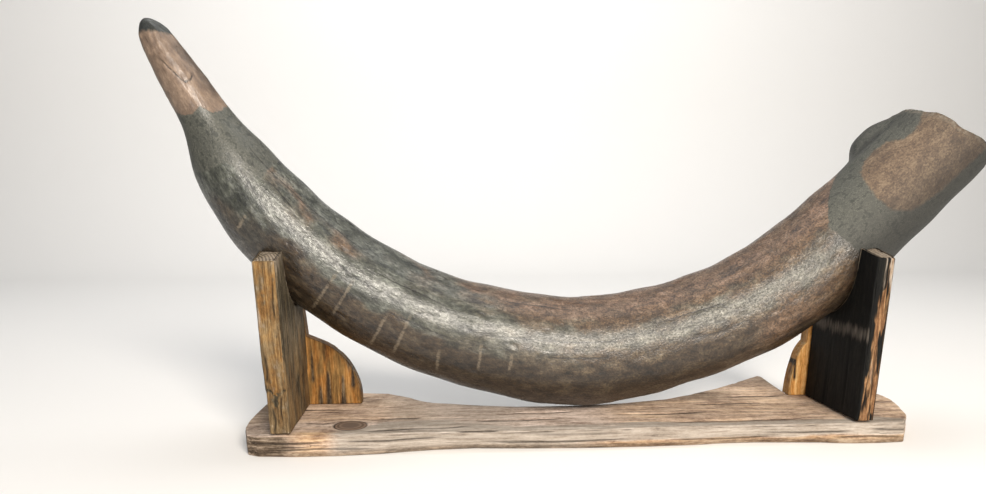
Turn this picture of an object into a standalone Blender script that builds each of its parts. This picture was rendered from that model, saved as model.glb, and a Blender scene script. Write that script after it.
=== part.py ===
"""Mammoth tusk lying in the timber stand it was made up with.

Metres, +Z up.  All lengths are measured from the front left corner of the
base board's underside, x to the right, y to the back and z up, and every
mesh is then shifted so that the origin lies under the middle of the object.
"""
import math

import bmesh
import bpy
import numpy as np
from mathutils import Matrix

# ---- Driving dimensions ----------------------------------------------------

MIDDLE_X = 0.463  # from the base's front left corner to the middle of the object
MIDDLE_Y = 0.1405
GAP = 0.0003  # between pieces that rest on each other
KNEE_GAP = 0.0005  # between an upright and the knee board behind it
CRADLE_GAP = 0.0006  # between the tusk and the cradle that is cut for it
MERGE = 0.00005  # corners closer than this are one

# Axis of the tusk from tip to root: x, y, z and the radius there.
TUSK_STATIONS = (
    (-0.110, 0.086, 0.552, 0.0135),
    (-0.076, 0.091, 0.487, 0.0270),
    (-0.050, 0.096, 0.439, 0.0320),
    (-0.026, 0.101, 0.387, 0.0480),
    (0.005, 0.105, 0.336, 0.0590),
    (0.067, 0.110, 0.265, 0.0670),
    (0.146, 0.113, 0.207, 0.0705),
    (0.236, 0.114, 0.160, 0.0735),
    (0.338, 0.115, 0.130, 0.0770),
    (0.443, 0.116, 0.114, 0.0790),
    (0.551, 0.117, 0.125, 0.0780),
    (0.656, 0.117, 0.155, 0.0765),
    (0.751, 0.118, 0.202, 0.0765),
    (0.834, 0.121, 0.267, 0.0745),
    (0.911, 0.128, 0.337, 0.0720),
    (0.990, 0.138, 0.414, 0.0720),
)
TIP_ROUNDING = 0.020  # length over which the blunt tip closes
TIP_RINGS = (12, 30, 50, 72)  # degrees round the closed tip
TUSK_SIDES = 28
TUSK_RING_STEP = 0.0178
AXIS_STEP = 0.001  # over which the direction of the axis is taken

# Long waves round the tusk: how many, height, phase and twist per metre.
FLUTES = (
    (2, 0.0013, 0.5, 1.2),
    (3, 0.0009, 2.1, -0.8),
    (5, 0.0007, 0.3, 1.5),
)
GROWTH_BAND = 0.085  # length of one growth wave along the tusk
GROWTH_HEIGHT = 0.0006
GROWTH_SKEW = 0.7  # how far the waves lean round the tusk, in radians

KNOB_FROM_ROOT = 0.052  # from the broken end to the top of the knob
KNOB_LENGTH = 0.037
KNOB_ANGLE = math.radians(-44)  # towards the back from the inside of the bend
KNOB_WIDTH = math.radians(24)
KNOB_HEIGHT = 0.025
CREASE_ANGLE = math.radians(-14)  # groove between the knob and the shaft
CREASE_WIDTH = math.radians(7)
CREASE_DEPTH = 0.005

BREAK_SLANT = 0.009  # how much longer the outer side is than the middle
BREAK_SHARE = 0.1  # share of the tusk over which its rings turn to the slant
BREAK_WAVES = ((3, 0.0025, 1.0), (7, 0.0018, 2.0))  # how many, height, phase
BREAK_DISH = 0.012  # depth of the hollow in the broken face
BREAK_RINGS = (0.93, 0.80, 0.72, 0.52, 0.44, 0.20)
BREAK_LEDGES = ((0.76, 0.007), (0.48, 0.006))  # share of the radius, height of the ledge

BASE_THICK = 0.029
BASE_ROUNDING = 0.004
# Lines across the base board: front x, front y, back x, back y and how far
# the worn lower front edge lies behind the upper one.
BASE_LINES = (
    (-0.017, 0.074, -0.015, 0.125, 0.000),
    (-0.014, 0.038, -0.012, 0.170, 0.001),
    (-0.005, 0.008, -0.003, 0.207, 0.002),
    (0.010, 0.001, 0.018, 0.228, 0.000),
    (0.060, 0.000, 0.066, 0.233, -0.004),
    (0.118, 0.000, 0.118, 0.217, -0.004),
    (0.170, 0.000, 0.168, 0.210, 0.000),
    (0.206, 0.001, 0.203, 0.183, 0.005),
    (0.240, 0.001, 0.238, 0.152, 0.010),
    (0.298, 0.001, 0.298, 0.136, 0.013),
    (0.365, 0.000, 0.365, 0.121, 0.008),
    (0.440, 0.000, 0.440, 0.120, 0.004),
    (0.530, 0.001, 0.526, 0.127, 0.002),
    (0.604, 0.001, 0.604, 0.147, 0.004),
    (0.640, 0.001, 0.646, 0.169, 0.008),
    (0.690, 0.001, 0.704, 0.202, 0.009),
    (0.742, 0.000, 0.769, 0.252, 0.006),
    (0.778, 0.000, 0.812, 0.285, 0.003),
    (0.786, 0.000, 0.815, 0.278, 0.002),
    (0.790, 0.000, 0.809, 0.221, 0.001),
    (0.794, 0.000, 0.804, 0.166, 0.000),
    (0.806, 0.000, 0.818, 0.184, -0.002),
    (0.826, 0.000, 0.838, 0.222, -0.004),
    (0.862, 0.000, 0.872, 0.242, -0.005),
    (0.899, 0.000, 0.912, 0.230, -0.003),
    (0.925, 0.034, 0.936, 0.196, 0.000),
    (0.943, 0.083, 0.950, 0.160, 0.001),
    (0.953, 0.118, 0.953, 0.139, 0.000),
)

UPRIGHT_DEPTH = 0.150
HORN_RISE = 0.010  # the sawn top climbs this much from the front
HORN_RUN = 0.045  # over this depth
LEFT_UPRIGHT_X = 0.0255
LEFT_UPRIGHT_THICK = 0.030
LEFT_UPRIGHT_TOP = 0.257
LEFT_LEAN = -0.022  # sideways per metre of height
RIGHT_UPRIGHT_X = 0.829
RIGHT_UPRIGHT_THICK = 0.025
RIGHT_UPRIGHT_TOP = 0.257
RIGHT_LEAN = 0.012
UPRIGHT_EDGE = 0.003
SHARP_EDGE = 40  # degrees between faces from which an edge is worn round
CURVE_STEPS = 4  # between two points of a board's outline

KNEE_THICK = 0.024
KNEE_EDGE = 0.0025
# Knee boards seen from the front: x, z and whether the outline turns sharply.
KNEE_FOOT = BASE_THICK + GAP
LEFT_KNEE = (
    (-0.006, KNEE_FOOT, True),
    (-0.009, 0.150, True),
    (-0.012, 0.250, True),
    (0.046, 0.236, True),
    (0.051, 0.180, True),
    (0.0545, 0.134, True),
    (0.066, 0.129, False),
    (0.087, 0.119, False),
    (0.108, 0.101, False),
    (0.123, 0.077, False),
    (0.131, 0.050, False),
    (0.132, KNEE_FOOT, True),
)
RIGHT_KNEE = (
    (0.804, KNEE_FOOT, True),
    (0.806, 0.055, False),
    (0.811, 0.083, False),
    (0.818, 0.104, False),
    (0.826, 0.115, True),
    (0.828, 0.160, True),
    (0.832, 0.262, True),
    (0.882, 0.275, True),
    (0.880, 0.150, True),
    (0.876, KNEE_FOOT, True),
)

# Drying checks and rotten pockets: piece, middle, half sizes.
CHECKS = (
    ("left_upright", (0.034, 0.000, 0.075), (0.0022, 0.010, 0.046)),
    ("left_upright", (0.046, 0.000, 0.062), (0.0026, 0.012, 0.034)),
    ("left_upright", (0.027, 0.000, 0.050), (0.0060, 0.009, 0.022)),
    ("left_upright", (0.040, 0.000, 0.096), (0.0090, 0.005, 0.0035)),
    ("left_upright", (0.038, 0.016, 0.264), (0.0120, 0.0018, 0.007)),
    ("right_upright", (0.836, 0.000, 0.180), (0.0020, 0.011, 0.085)),
    ("right_upright", (0.846, 0.000, 0.090), (0.0018, 0.009, 0.060)),
    ("right_upright", (0.831, 0.000, 0.110), (0.0040, 0.008, 0.050)),
    ("base_board", (0.300, 0.000, 0.019), (0.210, 0.006, 0.0022)),
    ("base_board", (0.660, 0.000, 0.016), (0.120, 0.006, 0.0020)),
    ("base_board", (-0.012, 0.080, 0.016), (0.020, 0.050, 0.0018)),
    ("left_knee", (0.088, 0.1505, 0.070), (0.0020, 0.006, 0.036)),
    ("left_knee", (0.115, 0.1505, 0.062), (0.0015, 0.005, 0.030)),
    ("right_knee", (0.811, 0.1520, 0.066), (0.0016, 0.006, 0.034)),
)

# Finishes: colour in linear light, roughness, metallic.
FINISHES = {
    "tusk": ("varnished_fossil_ivory", (0.118, 0.086, 0.058), 0.38, 0.0),
    "base_board": ("weathered_plank", (0.250, 0.160, 0.105), 0.80, 0.0),
    "left_upright": ("golden_split_timber", (0.225, 0.130, 0.060), 0.78, 0.0),
    "right_upright": ("darkened_split_timber", (0.060, 0.040, 0.026), 0.82, 0.0),
    "left_knee": ("orange_streaked_board", (0.300, 0.150, 0.055), 0.72, 0.0),
    "right_knee": ("orange_streaked_board", (0.300, 0.150, 0.055), 0.72, 0.0),
}


# ---- Scene -----------------------------------------------------------------

for old in list(bpy.data.objects):
    bpy.data.objects.remove(old)

parts = bpy.data.collections.new("mammoth_tusk")
cutters = bpy.data.collections.new("cutters")
bpy.context.scene.collection.children.link(parts)
bpy.context.scene.collection.children.link(cutters)


def finish_of(node):
    """The node's material, made once and shared by the nodes that name it."""
    name, colour, roughness, metallic = FINISHES[node]
    material = bpy.data.materials.get(name)
    if material is None:
        material = bpy.data.materials.new(name)
        material.use_nodes = True
        shader = material.node_tree.nodes["Principled BSDF"]
        shader.inputs["Base Color"].default_value = (*colour, 1.0)
        shader.inputs["Roughness"].default_value = roughness
        shader.inputs["Metallic"].default_value = metallic
    return material


def add_part(node, mesh, smooth_below=None):
    """Puts the mesh in the scene as the node, with its finish."""
    obj = bpy.data.objects.new(node, mesh)
    parts.objects.link(obj)
    mesh.materials.clear()
    mesh.materials.append(finish_of(node))
    if smooth_below is not None:
        mesh.shade_smooth()
        mesh.set_sharp_from_angle(angle=math.radians(smooth_below))
    return obj


def add_cutter(name, mesh):
    """Puts the mesh in the scene as a hidden cutting form."""
    obj = bpy.data.objects.new(name, mesh)
    cutters.objects.link(obj)
    obj.hide_render = True
    obj.display_type = "WIRE"
    return obj


def cut(obj, cutter):
    """Takes the cutter's form out of the part."""
    boolean = obj.modifiers.new(cutter.name, "BOOLEAN")
    boolean.operation = "DIFFERENCE"
    boolean.solver = "EXACT"
    boolean.object = cutter


def loft(name, rings):
    """A closed mesh through rings of points, each end closed by a fan."""
    rings = np.asarray(rings) - np.array((MIDDLE_X, MIDDLE_Y, 0.0))
    bm = bmesh.new()
    rows = [[bm.verts.new(point) for point in ring] for ring in rings]
    sides = len(rows[0])
    for row, following in zip(rows, rows[1:]):
        for k in range(sides):
            after = (k + 1) % sides
            bm.faces.new((row[k], row[after], following[after], following[k]))
    for row, ring in ((rows[0], rings[0]), (rows[-1], rings[-1])):
        centre = bm.verts.new(ring.mean(axis=0))
        for k in range(sides):
            bm.faces.new((row[k], row[(k + 1) % sides], centre))
    bmesh.ops.recalc_face_normals(bm, faces=bm.faces)
    mesh = bpy.data.meshes.new(name)
    bm.to_mesh(mesh)
    bm.free()
    return mesh


def spline(knots, values, at):
    """Cubic through the values with an even bend at every knot, straight at the ends."""
    gaps = np.diff(knots)
    slopes = np.diff(values, axis=0) / gaps[:, None]
    system = np.eye(len(knots))
    right_side = np.zeros_like(values)
    for k in range(1, len(knots) - 1):
        system[k, k - 1:k + 2] = gaps[k - 1], 2 * (gaps[k - 1] + gaps[k]), gaps[k]
        right_side[k] = 6 * (slopes[k] - slopes[k - 1])
    bend = np.linalg.solve(system, right_side)
    at = np.asarray(at, dtype=float)
    k = np.clip(np.searchsorted(knots, at) - 1, 0, len(gaps) - 1)
    gap = gaps[k][..., None]
    t = (at - knots[k])[..., None]
    rate = slopes[k] - gap * (2 * bend[k] + bend[k + 1]) / 6
    return values[k] + t * (rate + t * (bend[k] / 2 + t * (bend[k + 1] - bend[k]) / (6 * gap)))


# ---- Tusk ------------------------------------------------------------------

stations = np.array(TUSK_STATIONS)
station_gaps = np.linalg.norm(np.diff(stations[:, :3], axis=0), axis=1)
station_lengths = np.concatenate(([0.0], np.cumsum(station_gaps)))
TUSK_LENGTH = station_lengths[-1]


def tusk_axis(length):
    """Centre, direction, the directions to the inside of the bend and the front, radius."""
    found = spline(station_lengths, stations, length)
    along = (spline(station_lengths, stations, length + AXIS_STEP) - found)[..., :3]
    along /= np.linalg.norm(along, axis=-1, keepdims=True)
    inner = np.stack((-along[..., 2], 0 * along[..., 1], along[..., 0]), axis=-1)
    inner /= np.linalg.norm(inner, axis=-1, keepdims=True)
    front = np.cross(along, inner)
    return found[..., :3], along, inner, front, found[..., 3]


def hill(distance, width, power=2):
    """Smooth bump: 1 in the middle, about a third at the width, 0 far away."""
    return np.exp(-np.abs(distance / width) ** power)


def tusk_radius(length, angle, radius):
    """Radius with the closed tip, the flutes, the growth waves and the root's knob."""
    closing = np.clip(length / TIP_ROUNDING, 0.0, 1.0)
    shape = radius * np.sqrt(1.0 - (1.0 - closing) ** 2)
    for count, height, phase, twist in FLUTES:
        shape += height * closing * np.cos(count * angle + phase + twist * length)
    wave = np.sin(2 * math.pi * length / GROWTH_BAND + GROWTH_SKEW * np.sin(angle))
    shape += GROWTH_HEIGHT * closing * wave
    on_knob = hill(length - (TUSK_LENGTH - KNOB_FROM_ROOT), KNOB_LENGTH, 3)
    shape += KNOB_HEIGHT * on_knob * hill(angle - KNOB_ANGLE, KNOB_WIDTH)
    shape -= CREASE_DEPTH * on_knob * hill(angle - CREASE_ANGLE, CREASE_WIDTH)
    return shape


def tusk_points(length, angle, grow=0.0, share=1.0):
    """Points of the surface, or at a share of its radius inside it."""
    centre, along, inner, front, radius = tusk_axis(length)
    reach = (tusk_radius(length, angle, radius) + grow) * share
    across = np.cos(angle)[..., None] * inner + np.sin(angle)[..., None] * front
    return centre + reach[..., None] * across, along


def break_length(angle):
    """Where the broken end lies at each angle: slanted and ragged."""
    ragged = sum(height * np.sin(count * angle + phase) for count, height, phase in BREAK_WAVES)
    return TUSK_LENGTH - BREAK_SLANT * np.cos(angle) + ragged


def make_tusk(name, grow):
    """Rings from the tip to the broken end, then over the dished, stepped break."""
    angle = np.linspace(-math.pi, math.pi, TUSK_SIDES, endpoint=False)
    tip = TIP_ROUNDING * (1 - np.cos(np.radians(TIP_RINGS)))
    count = round((TUSK_LENGTH - TIP_ROUNDING) / TUSK_RING_STEP)
    along_tusk = np.concatenate((tip, np.linspace(TIP_ROUNDING, TUSK_LENGTH, count)))
    rings = []
    for length in along_tusk:
        late = np.clip(1.0 - (1.0 - length / TUSK_LENGTH) / BREAK_SHARE, 0.0, 1.0) ** 2
        shifted = length + late * (break_length(angle) - TUSK_LENGTH)
        rings.append(tusk_points(shifted, angle, grow)[0])
    for share in BREAK_RINGS:
        depth = BREAK_DISH * (1 - share ** 2)
        for edge, ledge in BREAK_LEDGES:
            depth -= ledge * (share < edge)
        points, along = tusk_points(break_length(angle), angle, grow, share)
        rings.append(points - depth * along)
    return loft(name, rings)


# ---- Stand -----------------------------------------------------------------

def make_base(name):
    """Ten-cornered sections across the board, carried from end to end."""
    edge = BASE_ROUNDING
    section = (
        (0.0, edge, BASE_THICK - edge), (0.0, 0.0, edge), (edge, 0.0, 0.0),
        (0.5, 0.0, 0.0), (1.0, -edge, 0.0), (1.0, 0.0, edge),
        (1.0, 0.0, BASE_THICK - edge), (1.0, -edge, BASE_THICK),
        (0.5, 0.0, BASE_THICK), (0.0, edge, BASE_THICK),
    )
    rings = []
    for front_x, front_y, back_x, back_y, worn in BASE_LINES:
        ring = []
        for share, inset, z in section:
            wear = worn * (1 - z / BASE_THICK) * (1 - share)
            x = front_x + share * (back_x - front_x)
            y = front_y + share * (back_y - front_y) + inset + wear
            ring.append((x, y, z))
        rings.append(ring)
    return loft(name, rings)


def make_board(name, outline, thick):
    """A flat board: its outline in x and y, centred on z = 0, made a welded mesh."""
    curve = bpy.data.curves.new(name, "CURVE")
    curve.dimensions = "2D"
    curve.fill_mode = "BOTH"
    curve.extrude = thick / 2
    curve.resolution_u = CURVE_STEPS
    line = curve.splines.new("BEZIER")
    line.use_cyclic_u = True
    line.bezier_points.add(len(outline) - 1)
    for point, (across, up, sharp) in zip(line.bezier_points, outline):
        point.co = (across, up, 0.0)
        point.handle_left_type = "VECTOR" if sharp else "AUTO"
        point.handle_right_type = point.handle_left_type
    guide = bpy.data.objects.new(name, curve)
    parts.objects.link(guide)
    depsgraph = bpy.context.evaluated_depsgraph_get()
    mesh = bpy.data.meshes.new_from_object(guide.evaluated_get(depsgraph))
    bpy.data.objects.remove(guide)
    bm = bmesh.new()
    bm.from_mesh(mesh)
    bmesh.ops.remove_doubles(bm, verts=bm.verts, dist=MERGE)
    bmesh.ops.dissolve_limit(bm, angle_limit=math.radians(1), verts=bm.verts, edges=bm.edges)
    bmesh.ops.recalc_face_normals(bm, faces=bm.faces)
    bm.to_mesh(mesh)
    bm.free()
    mesh.name = name
    return mesh


def round_edges(obj, width):
    """Softens the board's sharp edges."""
    bevel = obj.modifiers.new("worn_edges", "BEVEL")
    bevel.width = width
    bevel.segments = 2
    bevel.limit_method = "ANGLE"
    bevel.angle_limit = math.radians(SHARP_EDGE)


def make_upright(name, left_x, thick, top, lean):
    """A plank that stands across the base, sawn off with a slight rise to the back."""
    foot = BASE_THICK + GAP
    outline = (
        (0.0, foot, True),
        (0.0, top, True),
        (HORN_RUN, top + HORN_RISE, True),
        (UPRIGHT_DEPTH, top + HORN_RISE, True),
        (UPRIGHT_DEPTH, foot, True),
    )
    mesh = make_board(name, outline, thick)
    turn = Matrix(((0, 0, 1, 0), (1, 0, 0, 0), (0, 1, 0, 0), (0, 0, 0, 1)))
    mesh.transform(turn)
    for vertex in mesh.vertices:
        vertex.co.x += lean * (vertex.co.z - foot)
    mesh.transform(Matrix.Translation((left_x + thick / 2 - MIDDLE_X, -MIDDLE_Y, 0.0)))
    obj = add_part(name, mesh)
    round_edges(obj, UPRIGHT_EDGE)
    cut(obj, cradle)
    return obj


def make_knee(name, outline, front_y):
    """A board behind the upright: its horn backs the tusk, its knee braces the plank."""
    mesh = make_board(name, outline, KNEE_THICK)
    mesh.transform(Matrix.Rotation(math.radians(90), 4, "X"))
    mesh.transform(Matrix.Translation((-MIDDLE_X, front_y + KNEE_THICK / 2 - MIDDLE_Y, 0.0)))
    obj = add_part(name, mesh)
    round_edges(obj, KNEE_EDGE)
    cut(obj, cradle)
    return obj


def make_checks():
    """Cuts each drying check: a long thin pocket with pointed ends."""
    for number, (node, middle, half) in enumerate(CHECKS):
        mesh = bpy.data.meshes.new(f"check_{number}")
        bm = bmesh.new()
        bmesh.ops.create_uvsphere(bm, u_segments=8, v_segments=6, radius=1.0)
        bm.transform(Matrix.Diagonal((*half, 1.0)))
        bm.to_mesh(mesh)
        bm.free()
        cutter = add_cutter(f"check_{number}", mesh)
        cutter.location = (middle[0] - MIDDLE_X, middle[1] - MIDDLE_Y, middle[2])
        cut(bpy.data.objects[node], cutter)


cradle = add_cutter("cradle", make_tusk("cradle", CRADLE_GAP))
add_part("tusk", make_tusk("tusk", 0.0), smooth_below=40)
add_part("base_board", make_base("base_board"), smooth_below=35)
make_upright("left_upright", LEFT_UPRIGHT_X, LEFT_UPRIGHT_THICK, LEFT_UPRIGHT_TOP, LEFT_LEAN)
make_upright("right_upright", RIGHT_UPRIGHT_X, RIGHT_UPRIGHT_THICK, RIGHT_UPRIGHT_TOP, RIGHT_LEAN)
make_knee("left_knee", LEFT_KNEE, UPRIGHT_DEPTH + KNEE_GAP)
make_knee("right_knee", RIGHT_KNEE, UPRIGHT_DEPTH + KNEE_GAP)
make_checks()
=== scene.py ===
"""Looks of a mammoth tusk lying in the weathered timber stand that was cut for it.

Metres, +Z up.  Lengths are measured from the front left corner of the base
board's underside, x to the right along the tusk, y to the back and z up, and
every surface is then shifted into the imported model's frame.
"""
import functools
import math

import bpy
import numpy as np
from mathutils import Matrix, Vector


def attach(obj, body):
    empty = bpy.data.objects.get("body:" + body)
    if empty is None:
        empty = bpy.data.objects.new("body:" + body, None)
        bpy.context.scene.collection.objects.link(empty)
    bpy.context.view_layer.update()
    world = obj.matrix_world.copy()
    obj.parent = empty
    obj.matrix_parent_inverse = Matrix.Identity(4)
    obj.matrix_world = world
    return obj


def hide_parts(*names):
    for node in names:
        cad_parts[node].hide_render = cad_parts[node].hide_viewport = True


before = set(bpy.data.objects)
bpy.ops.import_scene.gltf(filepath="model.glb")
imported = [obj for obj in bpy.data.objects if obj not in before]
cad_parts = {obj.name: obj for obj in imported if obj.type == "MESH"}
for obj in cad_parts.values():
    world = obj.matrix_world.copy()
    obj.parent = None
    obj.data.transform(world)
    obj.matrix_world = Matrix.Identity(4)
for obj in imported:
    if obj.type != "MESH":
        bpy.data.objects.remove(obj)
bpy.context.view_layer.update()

MM = 0.001
CORNER = np.array((-0.463, -0.1405, 0.0))  # the base's front left corner in the model's frame

# ---- Camera, light and floor -----------------------------------------------

CAMERA_PLACE = (-0.2073, -1.0502, 0.3285)
CAMERA_DOWN = 13.14  # degrees below the horizon
CAMERA_RIGHT = 4.13  # degrees to the right of straight ahead
CAMERA_LENS = 26.03
CAMERA_SHIFT = 0.1234  # of the sensor's width, upwards

FLOOR_FRONT = 2.6
FLOOR_BACK = 2.2  # where the floor starts to curve up into the backdrop
FLOOR_HALF_WIDTH = 3.8
BACKDROP_ROUNDING = 0.9
BACKDROP_HEIGHT = 1.8
FLOOR_FINISH = {"Base Color": "#F2F1EF", "Roughness": 0.9}

MIDDLE = (0.0, -0.03, 0.22)  # of the tusk's bend
LAMPS = (  # name, place, what it faces, size, watts, colour
    ("key_lamp", (0.64, -2.60, 1.63), MIDDLE, 1.05, 128.0, "#FFF6EA"),
    ("low_lamp", (-0.60, -2.60, 1.10), MIDDLE, 0.80, 9.0, "#F4F6FF"),
    ("left_fill", (-2.26, -1.33, 2.40), MIDDLE, 2.4, 7.0, "#E8F0FF"),
    ("backdrop_lamp", (0.0, 1.1, 2.9), (0.0, 3.2, 0.6), 3.0, 62.0, "#FFFFFF"),
)
SKY = "#F4F6F8"
SKY_STRENGTH = 0.20

# ---- Tusk ------------------------------------------------------------------

# Axis of the tusk from tip to root: x, y, z and the radius there.
TUSK_STATIONS = (
    (-0.110, 0.086, 0.552, 0.0135),
    (-0.076, 0.091, 0.487, 0.0270),
    (-0.050, 0.096, 0.439, 0.0320),
    (-0.026, 0.101, 0.387, 0.0480),
    (0.005, 0.105, 0.336, 0.0590),
    (0.067, 0.110, 0.265, 0.0670),
    (0.146, 0.113, 0.207, 0.0705),
    (0.236, 0.114, 0.160, 0.0735),
    (0.338, 0.115, 0.130, 0.0770),
    (0.443, 0.116, 0.114, 0.0790),
    (0.551, 0.117, 0.125, 0.0780),
    (0.656, 0.117, 0.155, 0.0765),
    (0.751, 0.118, 0.202, 0.0765),
    (0.834, 0.121, 0.267, 0.0745),
    (0.911, 0.128, 0.337, 0.0720),
    (0.990, 0.138, 0.414, 0.0720),
)
TIP_ROUNDING = 0.020
TIP_ROWS = 14
TUSK_SIDES = 144
TUSK_ROWS = 620
BREAK_ROWS = 24
AXIS_STEP = 0.001
TIP_START = 0.08  # radians round the closed tip to its first ring
TUSK_ALLOWANCE = 0.0012  # taken off all over, so that the relief stays inside the solid
RIM_WIDTH = 0.012
CRACK_DEPTH = 0.0007
CRACK_WIDTH = 0.0016

FLUTES = (  # long waves round the tusk: how many, height, phase, twist per metre
    (2, 0.0013, 0.5, 1.2),
    (3, 0.0009, 2.1, -0.8),
    (5, 0.0007, 0.3, 1.5),
)
GROWTH_BAND = 0.085
GROWTH_HEIGHT = 0.0006
GROWTH_SKEW = 0.7

KNOB_FROM_ROOT = 0.052
KNOB_LENGTH = 0.037
KNOB_ANGLE = math.radians(-44)
KNOB_WIDTH = math.radians(24)
KNOB_HEIGHT = 0.025
CREASE_ANGLE = math.radians(-14)
CREASE_WIDTH = math.radians(7)
CREASE_DEPTH = 0.005
SAG_PLACE = 0.770  # the underside of the bend hangs a little lower than its sides
SAG_LENGTH = 0.110
SAG_WIDTH = math.radians(45)
SAG_DEPTH = 0.0040

BREAK_SLANT = 0.009
BREAK_SHARE = 0.1
BREAK_WAVES = ((3, 0.0025, 1.0), (7, 0.0018, 2.0))
BREAK_DISH = 0.012
BREAK_LEDGES = ((0.76, 0.007), (0.48, 0.006))
LEDGE_WIDTH = 0.04

# Edges between the finishes, as places along the tusk (metres) for angles
# round it in degrees: 0 is the inside of the bend, 90 the front.
CAP_EDGE = ((-180, 0.010), (-60, 0.022), (0, 0.031), (40, 0.026), (90, 0.018), (180, 0.010))
PATCH_EDGE = (
    (-180, 0.118), (-130, 0.131), (-80, 0.116), (-30, 0.128), (29, 0.134), (56, 0.134),
    (66, 0.126), (75, 0.121), (99, 0.125), (121, 0.121), (144, 0.113), (180, 0.118),
)
FILL_EDGE = (
    (-180, 0.185), (-120, 0.215), (-60, 0.198), (0, 0.226), (53, 0.233), (70, 0.228),
    (77, 0.207), (83, 0.195), (120, 0.193), (160, 0.182), (180, 0.185),
)
ROOT_EDGE = (
    (-180, 1.185), (-120, 1.205), (-60, 1.245), (-20, 1.270), (-7, 1.247), (10, 1.220),
    (20, 1.204), (37, 1.183), (50, 1.167), (86, 1.172), (130, 1.178), (180, 1.185),
)
TAN_OUTLINES = (  # bare places at the root: along the tusk, degrees round it
    ((1.400, 16), (1.367, 32), (1.349, 34), (1.334, 31), (1.325, 14), (1.301, 10), (1.283, 13),
     (1.264, 21), (1.250, 40), (1.241, 60), (1.242, 82), (1.262, 98), (1.307, 106), (1.400, 109)),
    ((1.400, -150), (1.330, -140), (1.275, -125), (1.262, -105), (1.290, -88), (1.345, -84),
     (1.400, -90)),
)

# Stains: place along the tusk, degrees round it, half length, half width in degrees, share.
TUSK_STAINS = (
    (0.285, 38, 0.028, 13, 0.7), (0.322, 47, 0.032, 11, 0.7), (0.480, 14, 0.026, 26, 0.5),
    (0.250, -60, 0.040, 20, 0.6), (0.400, -110, 0.060, 25, 0.7),
)
KNOB_SHADE = ((1.345, -40, 0.035, 22, 0.55),)
TONES_STRAY = 0.06  # how far noise moves the tones along the tusk
TONES_TURN = 14  # and round it, in degrees
HIGHLIGHT_BAND_ANGLE = 68  # of a paler, greyer band painted where the highlight falls
HIGHLIGHT_BAND_WIDTH = 16
GOLDEN_PLACE = 1.07  # of the golden patch near the root
GOLDEN_LENGTH = 0.080
# Where the knob's crease is painted dark as shade, along the tusk.
CREASE_PLACE = 1.328
ROOT_FROM = 1.16  # the filler at the root starts past this
BODY_RADIUS = 0.073  # turns degrees round the tusk into metres
TIP_RADIUS = 0.030
LINE_REACH = 7 * MM
LONG_CRACKS = (  # along the tusk, degrees round it
    ((0.609, 78), (0.664, 73), (0.722, 70), (0.782, 70), (0.841, 73)),
    ((0.298, 62), (0.352, 67), (0.404, 73), (0.455, 76)),
    ((0.205, 72), (0.250, 76), (0.290, 80)),
    ((0.160, 33), (0.200, 38), (0.260, 34), (0.330, 32), (0.400, 36), (0.450, 33)),
    ((0.235, 52), (0.262, 50), (0.300, 54)),
    ((0.430, 57), (0.500, 55), (0.560, 58)),
    ((0.470, 90), (0.520, 88), (0.580, 91)),
    ((0.700, 88), (0.760, 86), (0.800, 87)),
    ((0.860, 60), (0.930, 58), (0.990, 61)),
    ((0.620, 30), (0.700, 27), (0.760, 29)),
    ((0.900, 84), (0.960, 88), (1.010, 86)),
    ((0.300, -60), (0.420, -66), (0.560, -62), (0.700, -58)),
    ((0.650, -110), (0.800, -104), (0.980, -108)),
    ((0.350, -150), (0.460, -146), (0.600, -149)),
)
TIP_CRACKS = (  # degrees round the tusk, along it
    ((34, 0.081), (45, 0.086), (60, 0.090), (73, 0.089), (78, 0.084), (83, 0.075),
     (89, 0.067), (96, 0.057), (107, 0.048)),
    ((-120, 0.070), (-100, 0.062), (-84, 0.066), (-60, 0.060)),
)
SCRAPES = (  # degrees round the tusk, along it
    ((76, 0.396), (143, 0.394)), ((74, 0.420), (132, 0.420)), ((88, 0.481), (148, 0.480)),
    ((78, 0.510), (140, 0.510)), ((104, 0.562), (138, 0.569)), ((84, 0.614), (119, 0.619)),
    ((89, 0.658), (112, 0.660)), ((-140, 0.520), (-96, 0.528)),
    ((-130, 0.580), (-100, 0.586)), ((100, 0.262), (128, 0.268)),
)

# ---- Stand -----------------------------------------------------------------

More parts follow.
